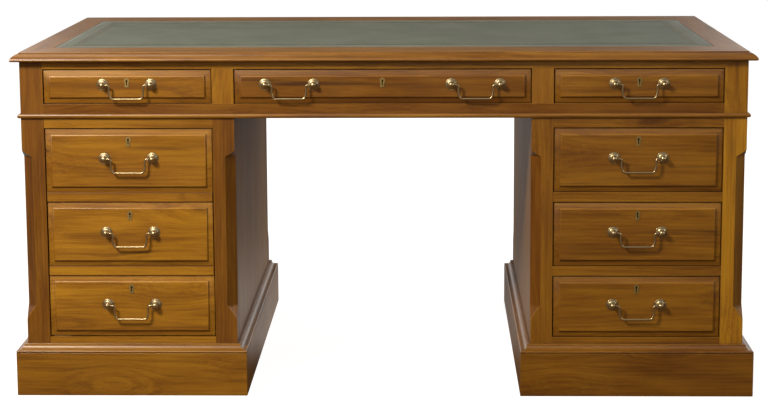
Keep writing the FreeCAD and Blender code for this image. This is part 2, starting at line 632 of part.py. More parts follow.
def make_door(blank):
    """Front door on the left-hand pedestal: leaf, sham fronts and rails, then its brass."""
    left = -OPEN_OUT + GAP_SIDE
    right = -OPEN_IN - GAP_SIDE
    foot = STACK_FOOT + DOOR_GAP
    top = STACK_TOP - DOOR_GAP
    ground = FRONT_BACK - DOOR_LEAF
    leaf = box(left, right, ground, FRONT_BACK, foot, top)
    openings = stack_openings()
    wood = []
    brass = []
    centre = (left + right) / 2.0
    holes = []
    for index, (open_foot, open_top) in enumerate(openings):
        key = (centre, open_top - KEYHOLE_DROP)
        handle_z = (open_foot + open_top) / 2.0 + HANDLE_RISE
        head = min(open_top, top)
        base = max(open_foot, foot)
        sham = fielded_front(left, right, base, head, ground)
        posts = post_centres([centre], handle_z)
        wood.append(drilled(sham, posts, key, ground))
        holes.extend(posts)
        brass.extend(brass_set([centre], handle_z, key, FRONT_BACK, blank))
        if index < len(openings) - 1:
            wood.append(box(left, right, FACE, ground, open_foot - PEDESTAL_RAIL, open_foot))
    for x, z in holes:
        leaf = leaf.cut(Part.makeCylinder(SHANK_RADIUS + SHANK_CLEARANCE, DOOR_LEAF,
                                          vec(x, ground, z), vec(0, 1, 0)))
    cuts = []
    for z, up in ((top, -1.0), (foot, 1.0)):
        flush = sorted((z, z + up * PIVOT_PLATE))
        plate = pivot_plate(flush[0], flush[1])
        bore = Part.makeCylinder(PIVOT_RADIUS + PIVOT_CLEARANCE, PIVOT_PLATE, vec(PIVOT_X, PIVOT_Y, flush[0]))
        deep = Part.makeCylinder(PIVOT_RADIUS + PIVOT_CLEARANCE, PIVOT_LENGTH + DOOR_GAP,
                                 vec(PIVOT_X, PIVOT_Y, z), vec(0, 0, up))
        brass.append(plate.cut(bore))
        cuts.append(plate)
        cuts.append(deep)
    pieces = []
    for solid in [leaf] + wood:
        for cutter in cuts:
            solid = solid.cut(cutter)
        pieces.extend(solid.Solids)
    return pieces, brass


def make_pivots():
    """Plates and pins let into the rails above and below the front door."""
    solids = []
    for z, down in ((STACK_TOP, -1.0), (STACK_FOOT, 1.0)):
        level = sorted((z, z + down * PIVOT_PLATE))
        plate = pivot_plate(level[0], level[1])
        pin = Part.makeCylinder(PIVOT_RADIUS, PIVOT_LENGTH, vec(PIVOT_X, PIVOT_Y, z), vec(0, 0, down))
        solids.append(plate.fuse(pin).removeSplitter())
    return solids


# --- the desk ------------------------------------------------------------------------------
def both_sides(name, solids):
    """Write a piece of the front half, and its twin on the back half."""
    export("front_" + name, solids)
    export("back_" + name, [turned(solid) for solid in solids])


def main():
    os.makedirs("parts", exist_ok=True)
    frame, ground, leather = make_top()
    export("top_border", frame)
    export("top_ground", [ground])
    export("writing_leather", [leather])
    export("frieze_carcase", make_frieze())
    export("frieze_bead", make_bead())
    pedestal = make_pedestal()
    export("right_pedestal", pedestal)
    export("left_pedestal", [turned(solid) for solid in pedestal])
    plinth = make_plinth()
    export("right_plinth", plinth)
    export("left_plinth", [turned(solid) for solid in plinth])
    runners = make_runners()
    export("drawer_runners", runners + [turned(solid) for solid in runners])
    shelf = make_shelf()
    export("cupboard_shelves", shelf + [turned(solid) for solid in shelf])
    pivots = make_pivots()
    export("door_pivots", pivots + [turned(solid) for solid in pivots])

    blank = make_rose_post()
    bail = make_bail()
    frieze_span = (FRIEZE_OPEN_FOOT, FRIEZE_OPEN_TOP)
    side_x = (OPEN_IN, OPEN_OUT)
    places = [
        ("frieze_left", (-OPEN_OUT, -OPEN_IN), frieze_span, None),
        ("frieze_centre", (-KNEE, KNEE), frieze_span, PAIR_OFFSET),
        ("frieze_right", side_x, frieze_span, None),
    ]
    for level, span in zip(("top", "middle", "bottom"), stack_openings()):
        places.append(("pedestal_" + level, side_x, span, None))
    for name, (x0, x1), (z0, z1), pair in places:
        centre = (x0 + x1) / 2.0
        handles = [centre] if pair is None else [centre - pair, centre + pair]
        handle_z = (z0 + z1) / 2.0 + HANDLE_RISE
        key = (centre, z1 - KEYHOLE_DROP)
        posts = post_centres(handles, handle_z)
        both_sides(name + "_drawer", make_drawer(x0, x1, z0, z1, posts, key))
        lock = make_lock(key, z1 - GAP_TOP)
        both_sides(name + "_brass", brass_set(handles, handle_z, key, FRONT_BACK, blank) + [lock])
        for tag, x in zip(("_bail",) if pair is None else ("_left_bail", "_right_bail"), handles):
            both_sides(name + tag, [moved(bail, x, 0, handle_z)])

    wood, brass = make_door(blank)
    both_sides("door", wood)
    both_sides("door_brass", brass)
    centre = -(OPEN_IN + OPEN_OUT) / 2.0
    for level, (z0, z1) in zip(("top", "middle", "bottom"), stack_openings()):
        both_sides("door_" + level + "_bail", [moved(bail, centre, 0, (z0 + z1) / 2.0 + HANDLE_RISE)])


main()
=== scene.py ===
"""Dresses a leathered partners desk: polished walnut boards, tooled leather, antique brass."""
import logging
import math
import random
from collections.abc import Callable, Iterable, Sequence
from dataclasses import dataclass
from enum import Enum

import bmesh
import bpy
import numpy as np
from mathutils import Matrix, Vector


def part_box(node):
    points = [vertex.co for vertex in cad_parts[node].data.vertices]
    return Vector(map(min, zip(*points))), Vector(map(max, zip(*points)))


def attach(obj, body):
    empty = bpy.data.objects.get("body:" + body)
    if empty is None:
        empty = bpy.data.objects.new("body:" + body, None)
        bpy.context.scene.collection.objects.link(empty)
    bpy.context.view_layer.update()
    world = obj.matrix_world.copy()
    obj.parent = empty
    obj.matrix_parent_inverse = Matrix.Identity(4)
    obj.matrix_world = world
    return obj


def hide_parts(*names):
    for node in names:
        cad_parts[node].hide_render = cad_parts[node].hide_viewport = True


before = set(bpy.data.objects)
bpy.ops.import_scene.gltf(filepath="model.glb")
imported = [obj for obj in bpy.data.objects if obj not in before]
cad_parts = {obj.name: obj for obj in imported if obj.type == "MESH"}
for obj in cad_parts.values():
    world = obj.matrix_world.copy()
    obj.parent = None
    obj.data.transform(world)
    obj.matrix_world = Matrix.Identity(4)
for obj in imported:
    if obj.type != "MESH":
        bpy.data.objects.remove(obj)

LOG = logging.getLogger("partners_desk")
RGB = tuple[float, float, float]
Point = tuple[float, float, float]
Socket = bpy.types.NodeSocket
WHITE = (1.0, 1.0, 1.0)
FLAT = math.radians(0.5)
SHARP = math.radians(35)
CREASE = math.radians(38)
SLANTED = 0.3
SIDE_THICK = 0.03
SIDE_TALL = 0.4
HALF_TURN = Matrix.Rotation(math.pi, 4, "Z")
LEVELS = ("top", "middle", "bottom")


# --- wiring of node trees ------------------------------------------------------------------
class Wiring:
    """Places the nodes of one tree and joins them up."""

    def __init__(self, tree: bpy.types.NodeTree) -> None:
        """Takes the tree to be wired."""
        self.tree = tree

    def node(self, kind: str, inputs: dict | None = None, **settings: object) -> bpy.types.Node:
        """Adds one node.

        Args:
            kind: Blender's name for the node.
            inputs: a value, or the socket that feeds it, for each input by name or number.
            settings: the node's own properties.

        Returns:
            The new node.
        """
        node = self.tree.nodes.new(kind)
        for name, value in settings.items():
            setattr(node, name, value)
        for key, value in (inputs or {}).items():
            socket = node.inputs[key]
            if isinstance(value, Socket):
                self.tree.links.new(value, socket)
            else:
                socket.default_value = (*value, 1.0) if socket.type == "RGBA" else value
        return node

    def flow(self, kind: str, inputs: dict | None = None, **settings: object) -> Socket:
        """Adds one node and returns its first output."""
        return self.node(kind, inputs, **settings).outputs[0]

    def math(self, operation: str, first: object, second: object = 0.0) -> Socket:
        """Adds a sum of two numbers."""
        return self.flow("ShaderNodeMath", {0: first, 1: second}, operation=operation)

    def plus(self, first: object, second: object) -> Socket:
        """Adds two numbers."""
        return self.math("ADD", first, second)

    def times(self, first: object, second: object) -> Socket:
        """Multiplies two numbers."""
        return self.math("MULTIPLY", first, second)

    def vector(self, operation: str, first: object, second: object = (0.0, 0.0, 0.0)) -> Socket:
        """Adds a sum of two vectors."""
        return self.flow("ShaderNodeVectorMath", {0: first, 1: second}, operation=operation)

    def scaled(self, vector: object, share: object) -> Socket:
        """Lengthens a vector."""
        return self.flow("ShaderNodeVectorMath", {0: vector, "Scale": share}, operation="SCALE")

    def parts(self, vector: object) -> Sequence[Socket]:
        """Splits a vector into its X, Y and Z."""
        return self.node("ShaderNodeSeparateXYZ", {0: vector}).outputs

    def ramped(self, value: object, low: float, high: float, floor: float = 0.0, head: float = 1.0,
               shape: str = "SMOOTHSTEP") -> Socket:
        """Brings a number from one range to another.

        Args:
            value: the number's socket.
            low: where the rise starts.
            high: where it ends.
            floor: result below the rise.
            head: result above it.
            shape: Blender's name for the way it rises.

        Returns:
            The new number's socket.
        """
        inputs = {"Value": value, "From Min": low, "From Max": high, "To Min": floor, "To Max": head}
        return self.flow("ShaderNodeMapRange", inputs, interpolation_type=shape)

    def mixed(self, share: object, first: object, second: object, mode: str = "MIX") -> Socket:
        """Mixes two colours.

        Args:
            share: how much of the second colour.
            first: colour or its socket.
            second: colour or its socket.
            mode: Blender's name for the way of mixing.

        Returns:
            The mixed colour's socket.
        """
        inputs = {0: share, 6: first, 7: second}
        return self.node("ShaderNodeMix", inputs, data_type="RGBA", blend_type=mode).outputs[2]

    def noise(self, place: object, grains: Point | float, detail: float = 2.0, rough: float = 0.5,
              give: str = "Fac") -> Socket:
        """Adds noise, whose grains may be stretched.

        Args:
            place: socket of the point.
            grains: grains per metre, along each axis where they differ.
            detail: octaves.
            rough: share of each finer octave.
            give: the output that is wanted.

        Returns:
            The noise's socket.
        """
        each = grains if isinstance(grains, tuple) else (grains,) * 3
        spread = self.vector("MULTIPLY", place, each)
        inputs = {"Vector": spread, "Scale": 1.0, "Detail": detail, "Roughness": rough}
        return self.node("ShaderNodeTexNoise", inputs).outputs[give]

    def group(self, effect: bpy.types.NodeTree, inputs: dict) -> Sequence[Socket]:
        """Places a shared effect with its own values and returns its outputs."""
        return self.node("ShaderNodeGroup", inputs, node_tree=effect).outputs

    def shelter(self, reach: float) -> Socket:
        """Finds how open a point is to what lies within a reach."""
        return self.node("ShaderNodeAmbientOcclusion", {"Distance": reach}, samples=6).outputs["AO"]

    def bump(self, height: Socket, strength: float, depth: float) -> Socket:
        """Turns a height into a normal."""
        return self.flow("ShaderNodeBump", {"Strength": strength, "Distance": depth, "Height": height})

    def here(self, axes: str = "Object") -> Socket:
        """Finds the point that is shaded."""
        return self.node("ShaderNodeTexCoord").outputs[axes]

    def blended(self, share: object, first: Socket, second: Socket) -> Socket:
        """Mixes two shaders."""
        return self.flow("ShaderNodeMixShader", {0: share, 1: first, 2: second})

    def seen(self, felt: Socket, shown: Socket) -> Socket:
        """Shows the camera one shader and everything else another."""
        return self.blended(self.node("ShaderNodeLightPath").outputs["Is Camera Ray"], felt, shown)


Started = tuple[Wiring, Sequence[Socket]]


def rewired(owner: bpy.types.Material | bpy.types.World) -> Wiring:
    """Empties the tree of a material or world and returns its wiring."""
    owner.use_nodes = True
    owner.node_tree.nodes.clear()
    return Wiring(owner.node_tree)


def started_tree(kind: str, name: str, inputs: dict[str, object], outputs: dict[str, str]) -> Started:
    """Starts a node group with named sockets.

    Args:
        kind: Blender's name for the kind of tree.
        name: the tree's name.
        inputs: each input's usual value, or the kind of socket where it has none.
        outputs: each output's kind of socket.

    Returns:
        The wiring and the inputs' sockets.
    """
    tree = bpy.data.node_groups.new(name, kind)
    for title, value in inputs.items():
        bare = isinstance(value, str)
        sort = value if bare else type(value).__name__.title()
        socket = tree.interface.new_socket(name=title, in_out="INPUT", socket_type=f"NodeSocket{sort}")
        if not bare:
            socket.default_value = value
    for title, sort in outputs.items():
        tree.interface.new_socket(name=title, in_out="OUTPUT", socket_type=f"NodeSocket{sort}")
    wiring = Wiring(tree)
    return wiring, wiring.node("NodeGroupInput").outputs


class Effects:
    """Effects that several finishes share, each built once.

    Grains are per metre along, across and through the board.
    """

    CELL = (3.2, 7.0, 7.0)
    SWAY = (1.9, 6.5, 6.5)
    FIBRE = (14.0, 620.0, 620.0)
    CLOUD = (3.0, 42.0, 42.0)
    VEIN = (1.5, 26.0, 26.0)
    PORE = (95.0, 1900.0, 1900.0)
    SIDEWAYS = (0.0, 1.0, 1.0)
    BULGE = (0.0, 0.85 / CELL[1], 0.85 / CELL[2])
    TAPER = 0.012
    SPECKS = 90.0
    CREASES = 38.0

    def __init__(self) -> None:
        """Builds every effect."""
        self.figure = self._figure()
        self.bloom = self._bloom()
        self.pebble = self._pebble()

    def _start(self, name: str, inputs: dict[str, object], *outputs: str) -> Started:
        """Starts an effect that takes a point and gives numbers."""
        inputs = {"Place": "Vector", **inputs}
        return started_tree("ShaderNodeTree", name, inputs, dict.fromkeys(outputs, "Float"))

    def _figure(self) -> bpy.types.NodeTree:
        """Figure of sawn timber: rings, fibres, dark veins, knots and pores.

        Returns:
            The effect. Its point is in the board's own axes, the grain along X.
        """
        w, given = self._start("timber_figure", {
            "Ring Gap": 0.008, "Ring Share": 0.4, "Knots": 1.0, "Veins": 1.0, "Wander": 0.012,
        }, "Figure", "Vein", "Knot", "Pore", "Height")
        place = given["Place"]
        spread = w.vector("MULTIPLY", place, self.CELL)
        eye = w.node("ShaderNodeTexVoronoi", {"Vector": spread, "Scale": 1.0, "Randomness": 1.0}).outputs
        away = w.vector("SUBTRACT", spread, eye["Position"])
        push = w.times(w.ramped(eye["Distance"], 0.5, 0.02), given["Knots"])
        bulge = w.scaled(w.vector("MULTIPLY", away, self.BULGE), push)
        sway = w.vector("SUBTRACT", w.noise(place, self.SWAY, give="Color"), (0.5, 0.5, 0.5))
        sway = w.vector("MULTIPLY", w.scaled(sway, given["Wander"]), self.SIDEWAYS)
        bent = w.vector("ADD", w.vector("SUBTRACT", place, bulge), sway)
        across = w.vector("MULTIPLY", bent, self.SIDEWAYS)
        reach = w.node("ShaderNodeVectorMath", {0: across}, operation="LENGTH").outputs["Value"]
        reach = w.plus(reach, w.times(w.parts(bent)[0], self.TAPER))
        turn = w.math("FRACT", w.math("DIVIDE", reach, given["Ring Gap"]))
        ring = w.times(w.ramped(turn, 0.0, 0.82), w.ramped(turn, 0.84, 1.0, 1.0, 0.0))
        fibre = w.noise(bent, self.FIBRE, 3.0, 0.6)
        cloud = w.noise(bent, self.CLOUD, 4.0, 0.55)
        fine = w.ramped(w.plus(w.times(fibre, 0.42), w.times(cloud, 0.58)), 0.34, 0.66)
        share = given["Ring Share"]
        pore = w.ramped(w.noise(bent, self.PORE, 1.0), 0.60, 0.72)
        w.node("NodeGroupOutput", {
            "Figure": w.plus(w.times(ring, share), w.times(fine, w.math("SUBTRACT", 1.0, share))),
            "Vein": w.times(w.ramped(w.noise(bent, self.VEIN, 3.0, 0.62), 0.60, 0.78), given["Veins"]),
            "Knot": w.times(w.ramped(eye["Distance"], 0.15, 0.05), given["Knots"]),
            "Pore": pore,
            "Height": w.math("SUBTRACT", w.times(fibre, 0.6), w.times(pore, 0.9)),
        })
        return w.tree

    def _bloom(self) -> bpy.types.NodeTree:
        """Uneven age of a surface: rubbed patches, and grime with painted shade that darkens it where it is
        sheltered.

        Returns:
            The effect.
        """
        w, given = self._start("bloom_and_grime", {"Shelter": 1.0, "Patch": 6.0}, "Rubbed", "Grime")
        patches = {"Vector": given["Place"], "Scale": given["Patch"], "Detail": 4.0}
        patch = w.node("ShaderNodeTexNoise", patches).outputs["Fac"]
        speck = w.noise(given["Place"], self.SPECKS, 3.0)
        # Painted shade: points sheltered by nearby surfaces grow darker, speckled like grime.
        hidden = w.math("SUBTRACT", 1.0, given["Shelter"])
        w.node("NodeGroupOutput", {
            "Rubbed": w.ramped(patch, 0.42, 0.68),
            "Grime": w.times(hidden, w.ramped(speck, 0.25, 0.6, 0.6, 1.0)),
        })
        return w.tree

    def _pebble(self) -> bpy.types.NodeTree:
        """Pebbled skin with creases.

        Returns:
            The effect.
        """
        w, given = self._start("pebbled_skin", {"Pebbles": 700.0, "Crease": 0.4}, "Height", "Valley")
        place = given["Place"]
        cells = {"Vector": place, "Scale": given["Pebbles"]}
        away = w.node("ShaderNodeTexVoronoi", cells, feature="SMOOTH_F1").outputs["Distance"]
        swell = w.ramped(away, 0.05, 0.6, 1.0, 0.0)
        crease = w.times(w.noise(place, self.CREASES, 6.0, 0.6), given["Crease"])
        w.node("NodeGroupOutput", {"Height": w.plus(swell, crease), "Valley": w.math("SUBTRACT", 1.0, swell)})
        return w.tree


# --- finishes ------------------------------------------------------------------------------
@dataclass(frozen=True)
class Finish:
    """What every finish has."""

    name: str

    def material(self, effects: Effects) -> bpy.types.Material:
        """Makes the finish.

        Args:
            effects: the shared effects.

        Returns:
            The material.
        """
        material = bpy.data.materials.new(self.name)
        w = rewired(material)
        shader = w.node("ShaderNodeBsdfPrincipled", self.feeds(w, effects))
        w.node("ShaderNodeOutputMaterial", {"Surface": shader.outputs[0]})
        return material

    def feeds(self, w: Wiring, effects: Effects) -> dict[str, object]:
        """Wires up what each input of the shader gets."""
        raise NotImplementedError


@dataclass(frozen=True)
class TimberFinish(Finish):
    """Colours and surface of one timber. It reads each board's own place, tone and eased edges."""

    slot: str
    dark: RGB
    body: RGB
    light: RGB
    vein: RGB
    sombre: RGB = (0.50, 0.41, 0.42)
    sunny: RGB = (1.40, 1.52, 1.40)
    # Dark brown towards which painted shade and grime darken the timber.
    soot: RGB = (0.085, 0.027, 0.0012)
    stops: tuple[float, float, float] = (0.06, 0.46, 0.95)
    ring_gap: float = 0.0085
    ring_share: float = 0.22
    knots: float = 1.0
    veins: float = 1.0
    pores: float = 0.35
    rough: float = 0.38
    coat: float = 0.5
    coat_rough: float = 0.32
    cloud: float = 1.1
    clouds: Point = (4.0, 11.0, 11.0)
    relief: float = 0.10
    depth: float = 0.0004
    # Painted shade with grime at points sheltered within reach, and painted shade along the rim of a front at
    # the gaps.
    grime: float = 0.75
    rim_grime: float = 0.9
    reach: float = 0.014

    def feeds(self, w: Wiring, effects: Effects) -> dict[str, object]:
        """Wires up what each input of the shader gets.

        Args:
            w: wiring of the material.
            effects: the shared effects.

        Returns:
            A value or socket for each input.
        """
        place, tone, edge = (w.node("ShaderNodeAttribute", attribute_name=name).outputs[give]
                             for name, give in (("place", "Vector"), ("tone", "Fac"), ("edge", "Fac")))
        figure = w.group(effects.figure, {
            "Place": place, "Ring Gap": self.ring_gap, "Ring Share": self.ring_share,
            "Knots": self.knots, "Veins": self.veins,
        })
        age = w.group(effects.bloom, {"Place": place, "Shelter": w.shelter(self.reach), "Patch": 5.0})
        colour = self._figured(w, figure)
        cloud = w.times(w.math("SUBTRACT", w.noise(place, self.clouds, 3.0, 0.55), 0.5), self.cloud)
        level = w.ramped(w.plus(tone, cloud), -1.0, 1.0, shape="LINEAR")
        colour = w.mixed(1.0, colour, w.mixed(level, self.sombre, self.sunny), "MULTIPLY")
        worn = w.plus(w.times(age["Rubbed"], 0.45), 0.35)
        colour = w.mixed(w.times(w.math("MAXIMUM", edge, 0.0), worn), colour, self.light)
        # Painted shade along the rim of a front and at sheltered points, with some grime at the sheltered
        # points.
        shade_and_soil = w.times(w.math("MINIMUM", edge, 0.0), -self.rim_grime)
        shade_and_soil = w.math("MAXIMUM", shade_and_soil, w.times(age["Grime"], self.grime))
        rough = w.plus(w.times(age["Rubbed"], -0.06), self.rough)
        rough = w.plus(rough, w.times(figure["Pore"], 0.16))
        return {
            "Base Color": w.mixed(shade_and_soil, colour, self.soot),
            "Roughness": w.plus(rough, w.times(age["Grime"], 0.2)),
            "Normal": w.bump(figure["Height"], self.relief, self.depth),
            "IOR": 1.5, "Coat Weight": self.coat, "Coat Roughness": self.coat_rough, "Coat IOR": 1.5,
        }

    def _figured(self, w: Wiring, figure: Sequence[Socket]) -> Socket:
        """Colours the timber's figure.

        Args:
            w: wiring of the material.
            figure: outputs of the figure.

        Returns:
            Socket of the colour, with its veins, knots and pores.
        """
        ramp = w.node("ShaderNodeValToRGB", {0: figure["Figure"]})
        elements = ramp.color_ramp.elements
        elements.new(self.stops[1])
        for element, position, colour in zip(elements, self.stops, (self.dark, self.body, self.light)):
            element.position = position
            element.color = (*colour, 1.0)
        colour = ramp.outputs[0]
        for mark, share in (("Vein", 0.8), ("Knot", 0.5), ("Pore", self.pores)):
            colour = w.mixed(w.times(figure[mark], share), colour, self.vein)
        return colour


@dataclass(frozen=True)
class BrassFinish(Finish):
    """Brass, bright where it is handled; tarnish and painted shade make it brown in its hollows."""

    name: str = "cast_brass"
    bright: RGB = (0.60, 0.47, 0.26)
    # Colour of the tarnish, and of the painted shade at sheltered points.
    tarnish: RGB = (0.100, 0.063, 0.022)
    rough: float = 0.37
    film_rough: float = 0.34
    reach: float = 0.006

    def feeds(self, w: Wiring, effects: Effects) -> dict[str, object]:
        """Wires up what each input of the shader gets.

        Args:
            w: wiring of the material.
            effects: the shared effects.

        Returns:
            A value or socket for each input.
        """
        place = w.here()
        age = w.group(effects.bloom, {"Place": place, "Shelter": w.shelter(self.reach), "Patch": 40.0})
        spots = w.noise(place, 260.0, 5.0, 0.7)
        # Tarnish spots, and tarnish with painted shade at sheltered points.
        film_and_shade = w.math("MAXIMUM", w.ramped(spots, 0.45, 0.75, 0.0, 0.22), w.ramped(age["Grime"], 0.08, 0.5))
        return {
            "Base Color": w.mixed(film_and_shade, self.bright, self.tarnish), "Metallic": 1.0,
            "Roughness": w.plus(w.times(film_and_shade, self.film_rough), self.rough),
            "Normal": w.bump(spots, 0.05, 0.0001),
        }


@dataclass(frozen=True)
class LeatherFinish(Finish):
    """Dyed hide skiver, pebbled, rubbed paler where arms have rested and outside the tooling."""

    name: str = "writing_leather_finish"
    deep: RGB = (0.120, 0.134, 0.097)
    worn: RGB = (0.168, 0.184, 0.138)
    edge: RGB = (0.250, 0.252, 0.215)
    hollow: float = 0.4
    margin: float = 0.046
    rough: float = 0.50

    def feeds(self, w: Wiring, effects: Effects) -> dict[str, object]:
        """Wires up what each input of the shader gets.

        Args:
            w: wiring of the material.
            effects: the shared effects.

        Returns:
            A value or socket for each input.
        """
        place = w.here()
        skin = w.group(effects.pebble, {"Place": place, "Pebbles": 620.0, "Crease": 0.5})
        age = w.group(effects.bloom, {"Place": place, "Shelter": 1.0, "Patch": 2.6})
        colour = w.mixed(w.ramped(w.noise(place, 9.0, 6.0, 0.6), 0.3, 0.7), self.deep, self.worn)
        colour = w.mixed(w.times(age["Rubbed"], 0.35), colour, self.worn)
        colour = w.mixed(self._outside(w, place), colour, self.edge)
        hollow = tuple(self.hollow * part for part in self.deep)
        rough = w.plus(w.times(age["Rubbed"], -0.10), self.rough)
        return {
            "Base Color": w.mixed(w.times(skin["Valley"], 0.4), colour, hollow),
            "Roughness": w.plus(rough, w.times(skin["Valley"], 0.15)),
            "Normal": w.bump(skin["Height"], 0.35, 0.0003), "Specular IOR Level": 0.35,
        }

    def _outside(self, w: Wiring, place: Socket) -> Socket:
        """Finds the paler strip outside the tooling.

        Args:
            w: wiring of the material.
            place: socket of the point on the desk.

        Returns:
            Socket that rises on the strip.
        """
        _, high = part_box("writing_leather")
        reach = w.parts(w.vector("ABSOLUTE", place))
        over = [w.math("SUBTRACT", reach[axis], high[axis] - self.margin) for axis in (0, 1)]
        return w.ramped(w.math("MAXIMUM", *over), -0.006, 0.004, 0.0, 0.35)


@dataclass(frozen=True)
class GiltFinish(Finish):
    """Gold leaf tooled into leather, partly rubbed away."""

    name: str = "tooled_gilt_finish"
    gold: RGB = (0.42, 0.33, 0.16)
    bare: RGB = (0.060, 0.060, 0.044)

    def feeds(self, w: Wiring, effects: Effects) -> dict[str, object]:
        """Wires up what each input of the shader gets.

        Args:
            w: wiring of the material.
            effects: the shared effects.

        Returns:
            A value or socket for each input.
        """
        place = w.here()
        age = w.group(effects.bloom, {"Place": place, "Shelter": 1.0, "Patch": 30.0})
        flake = w.ramped(w.noise(place, 420.0, 4.0, 0.7), 0.42, 0.62)
        left = w.times(flake, w.ramped(age["Rubbed"], 0.0, 1.0, 0.9, 0.3))
        return {
            "Base Color": w.mixed(left, self.bare, self.gold), "Metallic": w.times(left, 0.7),
            "Roughness": w.plus(w.times(left, -0.12), 0.5),
        }


class Wood(Enum):
    """The timber finishes of the desk."""

    SHOW = TimberFinish(
        "polished_walnut", "walnut_wood",
        dark=(0.190, 0.069, 0.0040), body=(0.290, 0.115, 0.0055), light=(0.385, 0.170, 0.0095),
        vein=(0.055, 0.017, 0.004))
    LINING = TimberFinish(
        "drawer_lining", "inner_wood",
        dark=(0.27, 0.165, 0.078), body=(0.40, 0.265, 0.135), light=(0.52, 0.37, 0.205),
        vein=(0.17, 0.095, 0.045), ring_gap=0.004, ring_share=0.5, knots=0.5, veins=0.35, rough=0.62,
        coat=0.0, relief=0.3)


class Palette:
    """Every material, made once."""

    def __init__(self) -> None:
        """Makes all the materials."""
        effects = Effects()
        sheet = BrassFinish("sheet_brass", (0.46, 0.33, 0.12), (0.26, 0.16, 0.045), 0.62, reach=0.0008)
        self.wood = {kind: kind.value.material(effects) for kind in Wood}
        self.brass = BrassFinish().material(effects)
        self.sheet = sheet.material(effects)
        self.leather = LeatherFinish().material(effects)
        self.gilt = GiltFinish().material(effects)


# --- boards --------------------------------------------------------------------------------
@dataclass
class Solid:
    """One solid of the frame as welded triangles."""

    corners: np.ndarray
    faces: np.ndarray

    @property
    def low(self) -> np.ndarray:
        """Lowest corner."""
        return self.corners.min(0)

    @property
    def high(self) -> np.ndarray:
        """Highest corner."""
        return self.corners.max(0)

    @property
    def size(self) -> np.ndarray:
        """Length along each axis."""
        return self.high - self.low

    @property
    def middle(self) -> np.ndarray:
        """Middle of its box."""
        return (self.low + self.high) / 2.0

    @property
    def across(self) -> float:
        """How far to the right it stands, as seen from its own side of the desk."""
        return -self.middle[0] if self.middle[1] > 0.0 else self.middle[0]

    @property
    def grain(self) -> int:
        """Axis of the grain: along a board's length, but upright in a wide side."""
        wide_side = self.size[0] < SIDE_THICK and self.size[2] > SIDE_TALL
        return 2 if wide_side else int(np.argmax(self.size))


def boards_of(node: str) -> list[Solid]:
    """Parts a node into its solids, whose triangles follow one another and close.

    Args:
        node: name of the node.

    Returns:
        The solids in the node's order, their coinciding corners made one.
    """
    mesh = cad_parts[node].data
    corners = np.zeros(len(mesh.vertices) * 3, np.float32)
    mesh.vertices.foreach_get("co", corners)
    corners = corners.reshape(-1, 3)
    faces = np.zeros(len(mesh.loops), np.int32)
    mesh.loops.foreach_get("vertex_index", faces)
    microns = np.round(corners * 1e6).astype(np.int64)
    _, first, back = np.unique(microns, axis=0, return_index=True, return_inverse=True)
    corners = corners[first].astype(float)
    loose: set[tuple[int, int]] = set()
    solids = []
    held = []
    for face in back.reshape(-1)[faces].reshape(-1, 3).tolist():
        if len(set(face)) < 3:
            continue
        held.append(face)
        for start, end in zip(face, face[1:] + face[:1]):
            if (end, start) in loose:
                loose.remove((end, start))
            else:
                loose.add((start, end))
        if not loose:
            used, own = np.unique(held, return_inverse=True)
            solids.append(Solid(corners[used], own.reshape(-1, 3)))
            held = []
    return solids


def layered(build: bmesh.types.BMesh) -> bmesh.types.BMesh:
    """Gives a mesh under way the layers that the finishes read."""
    build.verts.layers.float_vector.new("place")
    build.faces.layers.float.new("tone")
    build.faces.layers.float.new("edge")
    return build


def mesh_of(build: bmesh.types.BMesh, name: str) -> bpy.types.Mesh:
    """Ends a mesh under way."""
    mesh = bpy.data.meshes.new(name)
    build.to_mesh(mesh)
    build.free()
    return mesh


